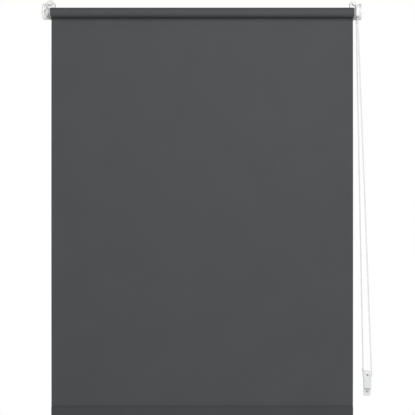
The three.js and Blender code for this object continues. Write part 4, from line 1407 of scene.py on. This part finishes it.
def coil(name, node, wire, body):
    """A helix of round wire, of this radius, that fills the box of a packed spring."""
    low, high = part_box(node)
    reach = (high.z - low.z) / 2 - wire
    rise = (high.x - low.x - 2 * wire) / COIL_TURNS
    section = arc((0, reach), wire, 0, 360 - 360 / WIRE_SIDES, WIRE_SIDES - 1)
    spring = outline(name, [(x, 0, z) for x, z in section])
    apply(
        spring, "SCREW", axis="X", screw_offset=rise, iterations=COIL_TURNS, steps=COIL_STEPS,
        render_steps=COIL_STEPS, angle=2 * math.pi, use_merge_vertices=True,
    )
    start = min(vertex.co.x for vertex in spring.data.vertices)
    only(spring)
    bpy.ops.transform.translate(value=(low.x - start, AXIS.y, AXIS.z))
    settle(name)
    edit(spring, "VERT")
    bpy.ops.mesh.select_all(action="DESELECT")
    bpy.ops.mesh.select_non_manifold()
    bpy.ops.mesh.edge_face_add()
    outwards(spring)
    return done(spring, spring_steel, body, "steel", node, smooth=50)


pin_spring = coil("pin_spring", "idle_spring", 0.00035, "roller")
PIN_TRAVEL = joint("pin_retract")["range_m"][1]
1 - PIN_TRAVEL / pin_spring.dimensions.x
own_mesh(pin_spring)
for place in ("inner", "outer"):
    coil(f"grip_spring_{place}", f"wrap_spring_{place}", 0.0003, "root")

# %% [markdown]
# ## Chain tensioner
#
# The tensioner keeps the chain taut and out of a child's reach. It has a back plate that is screwed
# to the wall, a guide wheel on a steel axle, and a milky cover with a wide mouth. Both mouldings
# follow the same waisted outline. The back has a thicker foot with a hole for the screw. The cover
# has a block below the wheel that keeps it off the back, and a shallow round recess at the axle.

# %% Mould the tensioner
TENSIONER_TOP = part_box("tensioner_back")[1].z
TENSIONER_HEIGHT = TENSIONER_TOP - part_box("tensioner_back")[0].z
TENSIONER_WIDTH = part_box("tensioner_back")[1].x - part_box("tensioner_back")[0].x
BACK_THICKNESS = 0.0025
FOOT_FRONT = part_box("tensioner_back")[0].y
COVER_FRONT, COVER_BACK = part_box("tensioner_cover")[0].y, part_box("tensioner_cover")[1].y
COVER_HEIGHT = TENSIONER_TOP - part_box("tensioner_cover")[0].z
FRONT_WALL = 0.003
LIP_HEIGHT = 0.002
WAIST_WIDTH = 0.0186
WAIST_HEIGHT = 0.0078
FOOT_WIDTH = 0.0177
AXLE_RADIUS = 0.002
AXLE_CHAMFER = 0.0003
TOP_CORNER = 0.0008
FOOT_CORNER = 0.0022
COVER_CORNER = 0.0006
FOOT_INSET = 0.00005
WALL_SCREW_RADIUS = 0.0019
WALL_HEAD_RADIUS = 0.0036


def tensioner_points(depth, y, corner):
    """The tensioner's outline down to this depth, with rounded lower corners."""
    share = (depth - WAIST_HEIGHT) / (TENSIONER_HEIGHT - WAIST_HEIGHT)
    low_half = (WAIST_WIDTH - share * (WAIST_WIDTH - FOOT_WIDTH)) / 2
    bottom = TENSIONER_TOP - depth
    right = [
        *arc((TENSIONER_WIDTH / 2 - TOP_CORNER, TENSIONER_TOP - TOP_CORNER), TOP_CORNER, 90, 0, 4),
        (TENSIONER_WIDTH / 2, TENSIONER_TOP - LIP_HEIGHT),
        (WAIST_WIDTH / 2 + 0.0006, TENSIONER_TOP - WAIST_HEIGHT + 0.0012),
        (WAIST_WIDTH / 2, TENSIONER_TOP - WAIST_HEIGHT),
        *arc((low_half - corner, bottom + corner), corner, 0, -90, 6),
    ]
    left = [(-x, z) for x, z in reversed(right)]
    return [(GUIDE.x + x, y, z) for x, z in (*right, *left)]


back_outline = tensioner_points(TENSIONER_HEIGHT, -BACK_THICKNESS, FOOT_CORNER)
back = moulding("wall_plate", back_outline, (0, BACK_THICKNESS, 0))
foot_top = TENSIONER_TOP - COVER_HEIGHT - FIT
foot_bottom = TENSIONER_TOP - TENSIONER_HEIGHT + FOOT_INSET
half = FOOT_WIDTH / 2 - FOOT_INSET
foot = moulding("foot", [
    (GUIDE.x + x, FOOT_FRONT, z) for x, z in (
        *arc((half - FOOT_CORNER, foot_bottom + FOOT_CORNER), FOOT_CORNER, 0, -90, 6),
        *arc((FOOT_CORNER - half, foot_bottom + FOOT_CORNER), FOOT_CORNER, -90, -180, 6),
        (-half, foot_top),
        (half, foot_top),
    )
], (0, -FOOT_FRONT - BACK_THICKNESS / 2, 0))
weld(back, foot)
axle_bore = rod(-2 * FAR, -BACK_THICKNESS / 2, AXLE_RADIUS + FIT)
axle_hole = turned("axle_hole", axle_bore, 32, GUIDE, Y_AXIS)
screw_bore = rod(-2 * FAR, FAR, WALL_SCREW_RADIUS + FIT)
screw_hole = turned("screw_hole", screw_bore, 32, middle_of("tensioner_screw"), Y_AXIS)
cut(back, axle_hole, screw_hole)
soften(back, 0.0004)
done(back, milky_plastic, "root", "clear_plastic", "tensioner_back")

# %% Mould the tensioner's cover
RECESS_RADIUS = 0.0075
RECESS_DEPTH = 0.0006

spacer_top = GUIDE.z - guide_reach - BALL_RADIUS - 2 * FIT
cover_outline = tensioner_points(COVER_HEIGHT, COVER_FRONT, COVER_CORNER)
cover = moulding("tensioner_front", cover_outline, (0, FRONT_WALL, 0))
half = FOOT_WIDTH / 2
spacer = block(
    "spacer",
    (GUIDE.x - half, COVER_FRONT + FRONT_WALL - CLEAR, TENSIONER_TOP - COVER_HEIGHT + 0.0001),
    (GUIDE.x + half, COVER_BACK, spacer_top),
)
weld(cover, spacer)
hole = turned("hole", rod(-2 * FAR, COVER_BACK + FAR, AXLE_RADIUS + FIT), 32, GUIDE, Y_AXIS)
recess_shape = rod(COVER_FRONT - CLEAR, COVER_FRONT + RECESS_DEPTH, RECESS_RADIUS)
cut(cover, turned("recess", recess_shape, 64, GUIDE, Y_AXIS), hole)
soften(cover, 0.0004)
done(cover, milky_plastic, "root", "clear_plastic", "tensioner_cover")

# %% Fit its axle and screw
axle_low, axle_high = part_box("guide_axle")
axle_shape = chamfered_rod(axle_low.y, axle_high.y, AXLE_RADIUS, AXLE_CHAMFER)
axle = turned("steel_axle", axle_shape, 32, GUIDE, Y_AXIS)
done(axle, zinc_steel, "root", "steel", "guide_axle", smooth=35)
pan_screw("wall_screw", "tensioner_screw", WALL_HEAD_RADIUS, WALL_SCREW_RADIUS, 0.002)

# %% [markdown]
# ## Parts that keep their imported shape
#
# The tube, the bottom bar, the tape, the fixed core and its screw are simple mill products that are
# almost wholly hidden. They keep the shape that they were packed with, and only their finish changes,
# in the slot that each one already has.

# %% Finish the kept parts
KEPT = {
    "roller_tube": zinc_steel,
    "fabric_tape": crepe_tape,
    "bottom_bar": drawn_aluminium,
    "drive_core": grey_plastic,
    "core_screw": zinc_steel,
}
for name, paint in KEPT.items():
    for each in bpy.data.objects[name].material_slots:
        each.material = paint.material
print("kept", len(KEPT), "packed parts with a new finish")

# %% [markdown]
# ## Light, floor and backdrop
#
# The blind is shown alone against white, lit by one large soft lamp above the camera and a weaker one
# from the right. A real backdrop would need strong lamps of its own to read as pure white, and they
# would wash out the white plastic. So the background that the camera sees is white, and the light
# that falls on the blind from all round is a softer grey. A third lamp lights its back. A pale floor
# lies well below, and glows a little, as a lit paper sweep does.

# %% Set the lamps
def lamp(name, place, target, size, power):
    """A square soft lamp that looks at a point."""
    only()
    bpy.ops.object.light_add(type="AREA", location=place)
    made = bpy.context.active_object
    made.name = name
    made.data.shape = "SQUARE"
    made.data.size = size
    made.data.energy = power
    made.rotation_euler = (Vector(target) - Vector(place)).to_track_quat("-Z", "Y").to_euler()
    return made


LAMP_SIZE = 1.4
lamp("key", (0.35, -2.3, 0.7), (0.05, 0, -0.4), LAMP_SIZE, 46)
lamp("fill", (1.9, -1.7, -0.2), (0, 0, -0.5), LAMP_SIZE, 6)
lamp("back", (-0.7, 2.4, -0.3), (0, 0, -0.5), LAMP_SIZE, 26)

world = bpy.data.worlds.new("studio")
bpy.context.scene.world = world
world.use_nodes = True
nodes, links = world.node_tree.nodes, world.node_tree.links
glow = nodes["Background"]
glow.inputs["Color"].default_value = (0.95, 0.97, 1.0, 1)
glow.inputs["Strength"].default_value = 0.3
white = nodes.new("ShaderNodeBackground")
white.inputs["Strength"].default_value = 1.0
white.inputs["Color"].default_value = (1, 1, 1, 1)
sight = nodes.new("ShaderNodeLightPath")
both = nodes.new("ShaderNodeMixShader")
links.new(sight.outputs["Is Camera Ray"], both.inputs[0])
links.new(glow.outputs[0], both.inputs[1])
links.new(white.outputs[0], both.inputs[2])
links.new(both.outputs[0], nodes["World Output"].inputs["Surface"])
bpy.context.scene.view_settings.view_transform = "Standard"
print("three lamps and a white backdrop")

# %% Lay the floor
FLOOR_HEIGHT = -2.15
FLOOR_SIZE = 8
FLOOR_GLOW = {"Emission Color": (1, 1, 1, 1), "Emission Strength": 0.42}

only()
bpy.ops.mesh.primitive_plane_add(size=FLOOR_SIZE, location=(0, 0, FLOOR_HEIGHT))
floor = settle("floor")
floor_finish = plastic("pale_floor", (0.8, 0.8, 0.79), (0.76, 0.76, 0.75), 0.6, **FLOOR_GLOW)
floor.data.materials.append(floor_finish.material)
print("the floor lies", -FLOOR_HEIGHT, "m below the sash's edge")
